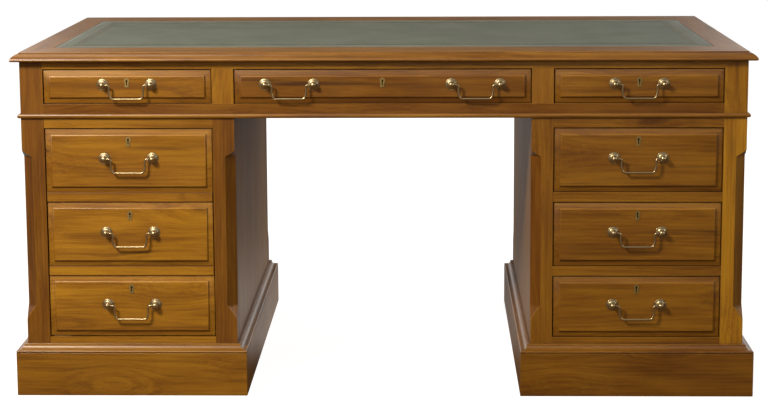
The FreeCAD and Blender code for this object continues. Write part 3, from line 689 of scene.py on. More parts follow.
@dataclass
class Board:
    """A solid cut from one plank, with eased edges."""

    solid: Solid
    seed: str
    tone: float = 0.0
    ease: float = 0.0007
    # Painted shade on the board's chamfers and other slanted faces.
    slant_tone: float = 0.0
    # Painted light on faces that look up, painted shade on faces that look down.
    lean: float = 0.0
    # Width of a front's rim that is painted dark as shade at the gaps.
    rim: float = 0.0

    def add_to(self, target: bmesh.types.BMesh, material: int = 0) -> None:
        """Adds the board to a mesh under way, with its place in its plank.

        Args:
            target: the mesh, whose layers are place, tone and edge.
            material: number of the board's material.
        """
        own = bmesh.new()
        verts = [own.verts.new(corner) for corner in self.solid.corners.tolist()]
        for face in self.solid.faces.tolist():
            own.faces.new([verts[index] for index in face])
        bmesh.ops.dissolve_limit(own, angle_limit=FLAT, verts=own.verts, edges=own.edges,
                                 use_dissolve_boundaries=False)
        eased = self._eased(own)
        place = target.verts.layers.float_vector["place"]
        tone = target.faces.layers.float["tone"]
        edge = target.faces.layers.float["edge"]
        into_plank = self._plank()
        copies = {}
        for vert in own.verts:
            copies[vert] = target.verts.new(vert.co)
            copies[vert][place] = into_plank @ vert.co
        for face in own.faces:
            fresh = target.faces.new([copies[vert] for vert in face.verts])
            fresh.smooth = True
            fresh.material_index = material
            slanted = sorted(abs(part) for part in face.normal)[1] > SLANTED
            # Painted light and shade in the tone: slanted faces take their painted shade, faces that look up
            # grow lighter and those that look down darker.
            fresh[tone] = self.tone + (self.slant_tone if slanted else 0.0) + self.lean * face.normal.z
            fresh[edge] = self._wear(face) if face.index in eased else 0.0
        own.free()

    def _eased(self, own: bmesh.types.BMesh) -> set[int]:
        """Eases the board's sharp edges.

        Args:
            own: the board's own mesh.

        Returns:
            Numbers of the faces that this makes.
        """
        shortest = 10.0 * self.ease
        sharp = [edge for edge in own.edges if len(edge.link_faces) == 2 and edge.calc_length() > shortest
                 and edge.calc_face_angle_signed(0.0) > SHARP]
        if not sharp:
            return set()
        made = bmesh.ops.bevel(own, geom=sharp, offset=self.ease, offset_type="OFFSET", segments=2,
                               profile=0.5, affect="EDGES", clamp_overlap=True, loop_slide=True)
        own.faces.index_update()
        return {face.index for face in made["faces"]}

    def _wear(self, face: bmesh.types.BMFace) -> float:
        """Eased edges are rubbed pale, but along the rim of a front they are painted dark as shade at the
        gaps.
        """
        spot, low, high = face.calc_center_median(), self.solid.low, self.solid.high
        inside = min(min(spot[axis] - low[axis], high[axis] - spot[axis]) for axis in (0, 2))
        return -1.0 if inside < self.rim else 1.0

    def _plank(self) -> Matrix:
        """Turns a point of the desk into one of the plank, the grain along X and the pith off the face.

        Returns:
            The turn and shift.
        """
        chance = random.Random(self.seed)
        run, size = self.solid.grain, self.solid.size
        thin, wide = sorted((axis for axis in range(3) if axis != run), key=lambda axis: size[axis])
        turn = Matrix([[float(axis == way) for axis in range(3)] for way in (run, wide, thin)])
        depth = chance.uniform(0.030, 0.075) * chance.choice((-1.0, 1.0))
        shift = Vector((chance.uniform(2.0, 30.0), chance.uniform(-0.45, 0.45) * size[wide], depth))
        return Matrix.Translation(shift) @ turn.to_4x4() @ Matrix.Translation(-Vector(self.solid.middle))


def linked(name: str, data: bpy.types.ID) -> bpy.types.Object:
    """Puts a thing in the scene."""
    thing = bpy.data.objects.new(name, data)
    bpy.context.scene.collection.objects.link(thing)
    return thing


def dressed(mesh: bpy.types.Mesh, *materials: bpy.types.Material) -> bpy.types.Object:
    """Makes a piece of a finished mesh.

    Args:
        mesh: its mesh, which gives it its name.
        materials: its materials.

    Returns:
        The piece.
    """
    if mesh.materials:
        mesh.materials.clear()
    for material in materials:
        mesh.materials.append(material)
    LOG.info("%s: %d faces", mesh.name, len(mesh.polygons))
    return linked(mesh.name, mesh)


def woodwork(name: str, boards: Iterable[Board], material: bpy.types.Material) -> bpy.types.Object:
    """Joins boards into one piece, shaded flat next to its eased edges.

    Args:
        name: the piece's name.
        boards: its boards.
        material: their finish.

    Returns:
        The piece.
    """
    build = layered(bmesh.new())
    for board in boards:
        board.add_to(build)
    mesh = mesh_of(build, name)
    mesh.set_sharp_from_angle(angle=CREASE)
    piece = dressed(mesh, material)
    modifier = piece.modifiers.new("even_shading", "WEIGHTED_NORMAL")
    modifier.keep_sharp = True
    modifier.weight = 80
    return piece


def seated(piece: bpy.types.Object, body: str, slot: str, *nodes: str) -> None:
    """Hands a piece to the body it moves with, in place of the nodes it stands for."""
    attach(piece, body)
    if nodes:
        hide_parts(*nodes)


# --- things grown by geometry nodes --------------------------------------------------------
def growth_tree(name: str, sizes: dict[str, object]) -> Started:
    """Starts a tree that grows a piece on a guide, in a finish."""
    inputs = {"Guide": "Geometry", **sizes, "Finish": "Material"}
    return started_tree("GeometryNodeTree", name, inputs, {"Piece": "Geometry"})


def grown_tree(w: Wiring, piece: Socket, finish: Socket) -> bpy.types.NodeTree:
    """Ends a tree: its copies made real, smooth and in their finish."""
    real = w.flow("GeometryNodeRealizeInstances", {"Geometry": piece})
    smooth = w.flow("GeometryNodeSetShadeSmooth", {"Geometry": real})
    coated = w.flow("GeometryNodeSetMaterial", {"Geometry": smooth, "Material": finish})
    w.node("NodeGroupOutput", {0: coated})
    return w.tree


def grown(name: str, guide: bpy.types.Mesh, tree: bpy.types.NodeTree,
          values: dict[str, object]) -> bpy.types.Mesh:
    """Grows a plain mesh on a guide.

    Args:
        name: the mesh's name.
        guide: points or path that the tree starts from.
        tree: the tree.
        values: value of each named input.

    Returns:
        The mesh.
    """
    carrier = linked(name, guide)
    modifier = carrier.modifiers.new("growth", "NODES")
    modifier.node_group = tree
    for item in tree.interface.items_tree:
        if item.item_type == "SOCKET" and item.in_out == "INPUT" and item.name in values:
            modifier[item.identifier] = values[item.name]
    depsgraph = bpy.context.evaluated_depsgraph_get()
    mesh = bpy.data.meshes.new_from_object(carrier.evaluated_get(depsgraph), depsgraph=depsgraph)
    mesh.name = name
    bpy.data.objects.remove(carrier)
    return mesh


def path_mesh(name: str, points: Sequence[Vector], closed: bool = False) -> bpy.types.Mesh:
    """Makes a path of straight lines, whose last point may be joined to its first."""
    mesh = bpy.data.meshes.new(name)
    count = len(points)
    links = [(index, (index + 1) % count) for index in range(count if closed else count - 1)]
    mesh.from_pydata([tuple(point) for point in points], links, [])
    return mesh


def turned_shape(name: str, profile: Sequence[tuple[float, float]], steps: int) -> bpy.types.Mesh:
    """Turns a profile round the Y axis, towards -Y.

    Args:
        name: the shape's name.
        profile: radius and height of each point in mm, from the foot up, with no radius at either end.
        steps: facets in a turn.

    Returns:
        The closed shape.
    """
    build = bmesh.new()
    rings = []
    for radius, height in profile:
        turns = [math.tau * step / steps for step in range(steps if radius else 1)]
        radius, height = radius / 1000.0, height / 1000.0
        rings.append([build.verts.new((radius * math.cos(a), -height, radius * math.sin(a))) for a in turns])
    for below, above in zip(rings, rings[1:]):
        for step in range(steps):
            loop = [ring[turn % len(ring)] for ring, turn in (
                (below, step), (below, (step + 1) % steps), (above, (step + 1) % steps), (above, step))]
            unique = list(dict.fromkeys(loop))
            if len(unique) > 2:
                build.faces.new(unique)
    bmesh.ops.recalc_face_normals(build, faces=build.faces)
    return mesh_of(build, name)


class Growths:
    """The trees that grow the brass and the tooling."""

    def __init__(self) -> None:
        """Builds every tree."""
        self.wire = self._wire()
        self.castings = self._castings()
        self.roll = self._roll()

    def _wire(self) -> bpy.types.NodeTree:
        """Round wire along a path, thicker where the path says so.

        Returns:
            The tree.
        """
        w, given = growth_tree("drawn_wire", {"Wire Radius": 0.0023, "Facets": 14})
        line = w.flow("GeometryNodeMeshToCurve", {"Mesh": given["Guide"]})
        girth = w.flow("GeometryNodeInputNamedAttribute", {"Name": "girth"}, data_type="FLOAT")
        circle = {"Resolution": given["Facets"], "Radius": given["Wire Radius"]}
        ring = w.flow("GeometryNodeCurvePrimitiveCircle", circle)
        inputs = {"Curve": line, "Profile Curve": ring, "Scale": girth, "Fill Caps": True}
        return grown_tree(w, w.flow("GeometryNodeCurveToMesh", inputs), given["Finish"])

    def _castings(self) -> bpy.types.NodeTree:
        """One pattern cast at every point of the guide, each turned a little differently.

        Returns:
            The tree.
        """
        w, given = growth_tree("castings", {"Pattern": "Object", "Turn": 0.4, "Seed": 7})
        limits = {2: w.times(given["Turn"], -1.0), 3: given["Turn"], "Seed": given["Seed"]}
        angle = w.node("FunctionNodeRandomValue", limits, data_type="FLOAT").outputs[1]
        return self._stood(w, given["Guide"], given["Pattern"], {1: angle}, given["Finish"])

    def _roll(self) -> bpy.types.NodeTree:
        """A stamp rolled along a path at an even pitch.

        Returns:
            The tree.
        """
        w, given = growth_tree("tooling_roll", {"Stamp": "Object", "Pitch": 0.006})
        line = w.flow("GeometryNodeMeshToCurve", {"Mesh": given["Guide"]})
        steps = w.flow("GeometryNodeResampleCurve", {"Curve": line, "Length": given["Pitch"]}, mode="LENGTH")
        ahead = w.parts(w.flow("GeometryNodeInputTangent"))
        bearing = w.math("ARCTAN2", ahead[1], ahead[0])
        return self._stood(w, steps, given["Stamp"], {2: bearing}, given["Finish"])

    def _stood(self, w: Wiring, points: Socket, pattern: Socket, turn: dict[int, Socket],
               finish: Socket) -> bpy.types.NodeTree:
        """Stands a pattern on every point and ends the tree.

        Args:
            w: wiring of the tree.
            points: where it stands.
            pattern: the pattern's object.
            turn: angle round each axis, by number.
            finish: its material.

        Returns:
            The tree.
        """
        facing = w.flow("FunctionNodeEulerToRotation", {0: w.flow("ShaderNodeCombineXYZ", turn)})
        shape = w.node("GeometryNodeObjectInfo", {"Object": pattern}).outputs["Geometry"]
        inputs = {"Points": points, "Instance": shape, "Rotation": facing}
        return grown_tree(w, w.flow("GeometryNodeInstanceOnPoints", inputs), finish)


# --- brass ---------------------------------------------------------------------------------
class Side(Enum):
    """The two sides of the desk, each the other after half a turn."""

    FRONT = "front"
    BACK = "back"

    @property
    def turn(self) -> Matrix:
        """What brings a thing made for the front to this side."""
        return HALF_TURN if self is Side.BACK else Matrix.Identity(4)


@dataclass
class Brassware:
    """Bails, their roses and posts, nuts, escutcheon threads and locks."""

    palette: Palette
    growths: Growths
    centres: float = 0.109
    stand: float = 0.0125
    field_face: float = -0.442
    front_back: float = -0.4185
    ball: float = 0.0065
    play: float = 0.0002
    spread: float = 0.038
    swell: float = 0.0012
    drop: float = 0.032
    flat: float = 0.0315
    wire: float = 0.0023
    bends: tuple[float, float, float] = (0.0045, 0.022, 0.008)
    girth: tuple[float, float, float] = (0.86, 0.16, 0.14)
    tip_girth: float = 0.8
    plate: float = 0.03
    thread_least: Point = (0.008, 0.0, 0.012)
    thread_most: Point = (0.016, 0.0035, 0.03)
    thread_wire: float = 0.003
    thread_reach: float = 0.0031
    thread_lap: tuple[float, float] = (0.3, 0.105)
    brass_ease: float = 0.00025

    def __post_init__(self) -> None:
        """Makes the patterns of the rose and of the nut."""
        nut = [(0.0, 0.0), (6.3, 0.0), (6.3, -2.6), (5.6, -3.2), (2.4, -3.3), (2.3, -3.9), (0.0, -3.9)]
        self.rose = linked("rose_pattern", turned_shape("rose_pattern", self._rose_profile(), 40))
        self.nut = linked("nut_pattern", turned_shape("nut_pattern", nut, 8))

    def _rose_profile(self) -> list[tuple[float, float]]:
        """Radius and height along the rose, its post and its ball.

        Returns:
            The profile in mm.
        """
        foot = [(0.0, 0.0), (13.5, 0.0), (13.5, 0.5)]
        rim = [(13.5 - 0.75 + 0.75 * math.cos(a), 0.55 + 0.8 * math.sin(a)) for a in np.linspace(0.2, 2.6, 6)]
        cove = [(11.2, 1.25), (10.7, 1.5)]
        dome = [(4.6 + 5.6 * math.cos(a), 1.6 + 3.4 * math.sin(a)) for a in np.linspace(0.0, 1.45, 8)]
        collar = [(4.9, 5.15), (5.0, 5.6), (4.7, 6.0), (4.0, 6.3), (3.7, 6.8)]
        ball = [(6.5 * math.sin(a), 12.5 - 6.5 * math.cos(a)) for a in np.linspace(0.62, 2.75, 15)]
        return foot + rim + cove + dome + collar + ball + [(1.7, 18.7), (0.9, 18.95), (0.0, 19.0)]

    def bail_path(self, name: str) -> bpy.types.Mesh:
        """Centre line of a bail hanging from pins along X, its middle at the origin.

        Args:
            name: the path's name.

        Returns:
            The path, with its girth at each point as a share of the usual one.
        """
        gap = self.centres / 2.0 - self.ball - self.play
        corners = [Vector((gap, 0, 0)), Vector((self.spread, 0, 0)),
                   Vector((self.spread + self.swell, 0, -self.drop / 2.0)),
                   Vector((self.flat + 0.004, 0, -self.drop))]
        corners += [Vector((-corner.x, 0, corner.z)) for corner in reversed(corners)]
        points = [corners[0]]
        for radius, *bend in zip(self.bends + self.bends[::-1], corners, corners[1:], corners[2:]):
            points += tangent_arc(*bend, radius, 9)
        points.append(corners[-1])
        girths = []
        for point in points:
            share = min(1.0, max(0.0, -point.z / self.drop))
            middle = math.cos(min(1.0, abs(point.x) / self.flat) * math.pi / 2.0) if share > 0.99 else 0.0
            girths.append(self.girth[0] + self.girth[1] * share + self.girth[2] * middle)
        girths[0] = girths[-1] = self.tip_girth
        path = path_mesh(name, points)
        path.attributes.new("girth", "FLOAT", "POINT").data.foreach_set("value", girths)
        return path

    def bail(self, name: str, x: float, z: float, side: Side) -> None:
        """Draws one bail.

        Args:
            name: the node it stands for, and the body it turns as.
            x: its middle.
            z: height of its pins.
            side: its side of the desk.
        """
        sizes = {"Wire Radius": self.wire, "Facets": 14, "Finish": self.palette.brass}
        mesh = grown(name + "_wire", self.bail_path(name + "_path"), self.growths.wire, sizes)
        mesh.transform(side.turn @ Matrix.Translation((x, self.field_face - self.stand, z)))
        seated(dressed(mesh, self.palette.brass), name, "antique_brass", name)

    def fittings(self, body: str, node: str, posts: Sequence[tuple[float, float]], side: Side) -> None:
        """Casts the roses and nuts of one front, with its thread and lock.

        Args:
            body: the body they ride on.
            node: the node they stand for.
            posts: middle of each rose, on the front half's axes.
            side: their side of the desk.
        """
        build = bmesh.new()
        for pattern, level, seed in ((self.rose, self.field_face, 11), (self.nut, self.front_back, 23)):
            guide = path_mesh(node + "_points", [Vector((x, level, z)) for x, z in posts])
            mesh = grown(node + "_cast", guide, self.growths.castings,
                         {"Pattern": pattern, "Turn": 0.5, "Seed": seed, "Finish": self.palette.brass})
            mesh.transform(side.turn)
            build.from_mesh(mesh)
            bpy.data.meshes.remove(mesh)
        for face in layered(build).faces:
            face.material_index = 0
        solids = sorted(boards_of(node), key=lambda solid: solid.corners[0].round(6).tolist())
        for number, solid in enumerate(solids):
            thread = ((solid.size > self.thread_least) & (solid.size < self.thread_most)).all()
            if thread or solid.size[0] > self.plate:
                Board(self._drawn_in(solid), f"{node}{number}", ease=self.brass_ease).add_to(build, 1)
        mesh = mesh_of(build, node + "_fittings")
        mesh.set_sharp_from_angle(angle=CREASE)
        seated(dressed(mesh, self.palette.brass, self.palette.sheet), body, "antique_brass", node)

    def _drawn_in(self, solid: Solid) -> Solid:
        """Narrows the opening of a thread, so that it laps a little over the key hole.

        Args:
            solid: a thread, or a lock or plate, which stays as it is.

        Returns:
            The solid as it is finished.
        """
        if solid.size[0] > self.plate:
            return solid
        corners = solid.corners.copy()
        away = corners - solid.middle
        reach = solid.size[2] / 2.0 - self.thread_wire
        inner = (np.abs(away[:, 0]) < self.thread_reach) & (np.abs(away[:, 2]) < reach)
        for axis, lap in zip((0, 2), self.thread_lap):
            corners[inner, axis] -= away[inner, axis] * lap
        return Solid(corners, solid.faces)

    def clear_patterns(self) -> None:
        """Takes the patterns out of the scene."""
        for pattern in (self.rose, self.nut):
            bpy.data.objects.remove(pattern)


def tangent_arc(before: Vector, corner: Vector, after: Vector, radius: float, steps: int) -> list[Vector]:
    """Rounds a corner.

    Args:
        before: point before the corner.
        corner: the corner.
        after: point after it.
        radius: the arc's radius.
        steps: how many points the arc has.

    Returns:
        The arc's points.
    """
    entry = (before - corner).normalized()
    leave = (after - corner).normalized()
    half = entry.angle(leave) / 2.0
    setback = radius / math.tan(half)
    middle = corner + (entry + leave).normalized() * (radius / math.sin(half))
    start = corner + entry * setback - middle
    end = corner + leave * setback - middle
    sweep = start.angle(end)
    return [middle + (start * math.sin((1 - t) * sweep) + end * math.sin(t * sweep)) / math.sin(sweep)
            for t in np.linspace(0.0, 1.0, steps)]


# --- woodwork of the desk ------------------------------------------------------------------
Tone = float | Callable[[Solid], float]


@dataclass
class Joiner:
    """Dresses the nodes that are made of boards."""

    palette: Palette
    batch: str = "b"
    # Painted light on the faces of fronts that look up, painted shade on those that look down.
    lean: float = 0.8
    # Width of a front's rim that is painted dark as shade at the gaps.
    rim: float = 0.002
    jitter: float = 0.14
    box_jitter: float = 0.2
    front_ease: float = 0.0014
    box_ease: float = 0.0005

    def node(self, name: str, kind: Wood, tone: Tone, ease: float = 0.0006, slant: Tone = 0.0,
             lean: float = 0.0, rim: float = 0.0, body: str = "desk") -> None:
        """Dresses a node whose boards are all of one finish.

        Args:
            name: the node.
            kind: its finish.
            tone: each board's tone, from -1 for dark to 1 for golden.
            ease: how far the edges are eased.
            slant: painted shade added to the tone of each board's chamfers.
            lean: painted light added to the tone of a face that looks up, and painted shade taken from one
                that looks down.
            rim: width of the rim of each board that is painted dark as shade at the gaps.
            body: the body it rides on.
        """
        boards = []
        for index, solid in enumerate(boards_of(name)):
            seed = f"{self.batch}/{name}/{index}"
            jitter = random.Random(seed + "tone").uniform(-self.jitter, self.jitter)
            # Each board's tone, and the painted shade on its chamfers.
            own, own_slant_shade = (part(solid) if callable(part) else part for part in (tone, slant))
            boards.append(Board(solid, seed, own + jitter, ease, own_slant_shade, lean, rim))
        piece = woodwork(name + "_timber", boards, self.palette.wood[kind])
        seated(piece, body, kind.value.slot, name)

    def drawer(self, name: str, tone: float) -> None:
        """Dresses a drawer: its polished front, and its plain box.

        Args:
            name: the drawer's node and body.
            tone: tone of the front.
        """
        numbered = enumerate(boards_of(name))
        front, *box = ((solid, f"{self.batch}/{name}/{index}") for index, solid in numbered)
        face = [Board(*front, tone, self.front_ease, lean=self.lean, rim=self.rim)]
        case = []
        for solid, seed in box:
            jitter = random.Random(seed).uniform(-self.box_jitter, self.box_jitter)
            case.append(Board(solid, seed, jitter, self.box_ease))
        piece = woodwork(name + "_front", face, self.palette.wood[Wood.SHOW])
        seated(piece, name, Wood.SHOW.value.slot, name)
        seated(woodwork(name + "_box", case, self.palette.wood[Wood.LINING]), name, Wood.LINING.value.slot)


@dataclass
class WritingTop:
    """Moulded border, ground board, leather and its tooling."""

    palette: Palette
    joiner: Joiner
    growths: Growths
    side_inset: float = 0.040
    front_inset: float = 0.058
    across: int = 150
    deep: int = 66
    sink: float = 0.00005
    tuck: float = 0.0003
    relief: float = 0.00012
    lozenge: tuple[float, float] = (0.0028, 0.0028 * 0.62)
    fillet: tuple[float, float] = (0.0046, 0.0008)
    lozenge_pitch: float = 0.0062
    fillet_pitch: float = 0.0075
    far: float = 0.3
    near_tone: float = -0.15
    far_tone: float = -0.3
    # Painted shade on the slanted faces of the border, chiefly its lip.
    lip_tone: float = -0.4

    def build(self) -> None:
        """Builds the whole top."""
        self.joiner.node("top_border", Wood.SHOW, self._border_tone, ease=0.0005, slant=self.lip_tone)
        self.joiner.node("top_ground", Wood.LINING, 0.0)
        self._leather()
        self._tooling()

    def _border_tone(self, solid: Solid) -> float:
        """The far board of the border is darker than the rest."""
        return self.far_tone if solid.low[1] > self.far else self.near_tone

    def _leather(self) -> None:
        """Lays the leather: a skin that sinks a little at its edges and is never quite flat."""
        low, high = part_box("writing_leather")
        build = bmesh.new()
        rows = []
        for j in range(self.deep + 1):
            row = []
            for i in range(self.across + 1):
                x = low.x + (high.x - low.x) * i / self.across
                y = low.y + (high.y - low.y) * j / self.deep
                wave = math.sin(5.1 * x + 1.3) * math.cos(7.3 * y - 0.4) + 0.5 * math.sin(13.0 * x - 9.0 * y)
                at_edge = i in (0, self.across) or j in (0, self.deep)
                sink = self.sink * (1.0 + wave * 0.5) + (self.tuck if at_edge else 0.0)
                row.append(build.verts.new((x, y, high.z - sink)))
            rows.append(row)
        for below, above in zip(rows, rows[1:]):
            for loop in zip(below, below[1:], above[1:], above):
                build.faces.new(loop)
        rim = [edge for edge in build.edges if edge.is_boundary]
        for item in bmesh.ops.extrude_edge_only(build, edges=rim)["geom"]:
            if isinstance(item, bmesh.types.BMVert):
                item.co.z = low.z
        bmesh.ops.holes_fill(build, edges=[edge for edge in build.edges if edge.is_boundary])
        bmesh.ops.recalc_face_normals(build, faces=build.faces)
        for face in build.faces:
            face.smooth = face.normal.z > 0.9
        piece = dressed(mesh_of(build, "writing_leather_skin"), self.palette.leather)
        seated(piece, "desk", "writing_leather", "writing_leather")

    def _tooling(self) -> None:
        """Rolls the gilt border into the leather: a row of lozenges between two pairs of fillets."""
        low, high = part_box("writing_leather")
        lozenge = self._stamp("lozenge_stamp", *self.lozenge)
        dash = self._stamp("fillet_stamp", *self.fillet)
        build = bmesh.new()
        for shift in (-0.0075, -0.0055, 0.0, 0.0055, 0.0075):
            pattern, pitch = (dash, self.fillet_pitch) if shift else (lozenge, self.lozenge_pitch)
            (left, right), (near, far) = (
                (low[axis] + inset + shift, high[axis] - (inset + shift))
                for axis, inset in enumerate((self.side_inset, self.front_inset)))
            corners = ((left, near), (right, near), (right, far), (left, far))
            line = [Vector((x, y, high.z + self.relief)) for x, y in corners]
            guide = path_mesh("tooling_line", line, closed=True)
            mesh = grown("tooling", guide, self.growths.roll,
                         {"Stamp": pattern, "Pitch": pitch, "Finish": self.palette.gilt})
            build.from_mesh(mesh)
            bpy.data.meshes.remove(mesh)
        for pattern in (lozenge, dash):
            bpy.data.objects.remove(pattern)
        piece = dressed(mesh_of(build, "writing_leather_tooling"), self.palette.gilt)
        seated(piece, "desk", "writing_leather")

    def _stamp(self, name: str, length: float, width: float) -> bpy.types.Object:
        """Makes a low pointed lozenge.

        Args:
            name: the stamp's name.
            length: half its length.
            width: half its width.

        Returns:
            The stamp, its middle at the origin.
        """
        mesh = bpy.data.meshes.new(name)
        rim = [(-length, 0, 0), (0, -width, 0), (length, 0, 0), (0, width, 0)]
        above = [(index, (index + 1) % 4, 4) for index in range(4)]
        below = [((index + 1) % 4, index, 5) for index in range(4)]
        mesh.from_pydata(rim + [(0, 0, self.relief), (0, 0, -self.tuck)], [], above + below)
        return linked(name, mesh)


@dataclass
class Carcase:
    """Frieze, bead, pedestals, plinths, and the plain wood inside."""

    joiner: Joiner
    thick: float = 0.3
    rail_tones: tuple[float, float] = (0.1, -0.45)
    side_tone: float = 0.15
    post_tones: tuple[float, ...] = (-0.85, -0.85, -0.55, 0.85)
    # Painted shade on the chamfers of each post from the left, with a little painted light on the second.
    post_slants: tuple[float, ...] = (-0.9, 0.1, -0.8, -0.9)
    post_edges: tuple[float, ...] = (-0.6, 0.0, 0.6)
    muntin_tone: float = -0.1
    end_tone: float = -0.4
    top_rail: float = 0.745
    # Painted light on the top rail, which lies in the shade under the lip.
    top_rail_tone: float = 0.3
    frieze_tone: float = -0.85

    def build(self) -> None:
        """Builds every fixed board."""
        dress = self.joiner.node
        dress("frieze_carcase", Wood.SHOW, self._frieze_tone)
        dress("frieze_bead", Wood.SHOW, -0.3, ease=0.0002)
        for name in ("left_pedestal", "right_pedestal"):
            dress(name, Wood.SHOW, self._pedestal_tone, slant=self._post_slant)
        dress("left_plinth", Wood.SHOW, -0.12)
        dress("right_plinth", Wood.SHOW, -0.7)
        dress("drawer_runners", Wood.LINING, -0.2)
        dress("cupboard_shelves", Wood.LINING, -0.05)

    def _pedestal_tone(self, solid: Solid) -> float:
        """Rails are as golden as the drawers, and each post has its own depth of colour.

        Args:
            solid: the board.

        Returns:
            The board's tone.
        """
        if solid.size[1] > self.thick:
            return self.side_tone
        if solid.size[0] > self.thick:
            return self.rail_tones[int(solid.across > 0.0)]
        return self.post_tones[self._post(solid)]

    def _post(self, solid: Solid) -> int:
        """Number of a post, from the left of its own side."""
        return sum(solid.across > edge for edge in self.post_edges)

    def _post_slant(self, solid: Solid) -> float:
        """Painted shade, or for one post a little painted light, added to the tone of a post's chamfer."""
        return self.post_slants[self._post(solid)]

    def _frieze_tone(self, solid: Solid) -> float:
        """Muntins, the right-hand stile and the ends are more golden than the rest, and the top rail is
        painted lighter to lift the shade under the lip.

        Args:
            solid: the board.

        Returns:
            The board's tone.
        """
        if solid.size[1] > self.thick:
            return self.end_tone
        if solid.size[2] > solid.size[0] and solid.across > self.post_edges[0]:
            return self.muntin_tone
        return self.top_rail_tone if solid.low[2] > self.top_rail else self.frieze_tone


@dataclass
class Fronts:
    """Drawers and doors of both sides, with their brass."""

    joiner: Joiner
    brassware: Brassware
    rise: float = 0.005
    pair: float = 0.2095
    side_x: float = 0.576
    frieze_z: float = 0.7125
    stack_z: tuple[float, float, float] = (0.5439, 0.3733, 0.2049)
    frieze_tones: tuple[float, float, float] = (-0.15, -0.7, -0.45)
    stack_tones: tuple[float, float, float] = (-0.45, -0.35, -0.35)
    # Tones of the sham fronts from the top down, rising as painted light towards the floor.
    door_tones: tuple[float, float, float] = (0.0, 0.2, 0.45)
    door_ease: float = 0.0012

    def build(self) -> None:
        """Builds the fronts of both sides, each from the left frieze drawer to the door."""
        for side in Side:
            middles = (-self.side_x, 0.0, self.side_x)
            for name, x, tone in zip(("left", "centre", "right"), middles, self.frieze_tones):
                self._drawer(f"frieze_{name}", x, self.frieze_z, tone, side)
            for name, z, tone in zip(LEVELS, self.stack_z, self.stack_tones):
                self._drawer(f"pedestal_{name}", self.side_x, z, tone, side)
            self._door(side)

    def _drawer(self, name: str, x: float, z: float, tone: float, side: Side) -> None:
        """Dresses a drawer and its handles, of which the one in the middle has two.

        Args:
            name: its place on either side.
            x: its middle.
            z: middle of its height.
            tone: tone of its front.
            side: its side of the desk.
        """
        title = f"{side.value}_{name}"
        body = title + "_drawer"
        self.joiner.drawer(body, tone)
        tags = {"_bail": x} if x else {"_left_bail": -self.pair, "_right_bail": self.pair}
        z += self.rise
        self.brassware.fittings(body, title + "_brass", self._posts(tags.values(), z), side)
        for tag, middle in tags.items():
            self.brassware.bail(title + tag, middle, z, side)

    def _door(self, side: Side) -> None:
        """Dresses a door with its three sham fronts.

        Args:
            side: its side of the desk.
        """
        title = f"{side.value}_door"
        self.joiner.node(title, Wood.SHOW, self._door_tone, ease=self.door_ease, lean=self.joiner.lean,
                         rim=self.joiner.rim, body=title)
        heights = [z + self.rise for z in self.stack_z]
        posts = [post for z in heights for post in self._posts([-self.side_x], z)]
        self.brassware.fittings(title, title + "_brass", posts, side)
        for level, z in zip(LEVELS, heights):
            self.brassware.bail(f"{title}_{level}_bail", -self.side_x, z, side)

    def _door_tone(self, solid: Solid) -> float:
        """The lower a sham front, the more golden it is: painted light that makes up for the light falling
        off towards the floor.
        """
        return float(np.interp(solid.middle[2], self.stack_z[::-1], self.door_tones[::-1]))

    def _posts(self, middles: Iterable[float], z: float) -> list[tuple[float, float]]:
        """Middles of the roses of the handles at the given places."""
        half = self.brassware.centres / 2.0
        return [(x + side * half, z) for x in middles for side in (-1.0, 1.0)]


# --- studio --------------------------------------------------------------------------------
@dataclass(frozen=True)
class SoftBox:
    """A soft studio light."""

    name: str
    place: Point
    aim: Point
    wide: float
    tall: float
    power: float
    colour: RGB
    mirrored: bool = True

    def hang(self) -> None:
        """Puts the light in the scene."""
        lamp = bpy.data.lights.new(self.name, "AREA")
        lamp.shape = "RECTANGLE"
        lamp.size, lamp.size_y = self.wide, self.tall
        lamp.energy = self.power
        lamp.color = self.colour
        light = linked(self.name, lamp)
        light.location = self.place
        light.visible_glossy = self.mirrored
        light.rotation_euler = (Vector(self.aim) - Vector(self.place)).to_track_quat("-Z", "Y").to_euler()


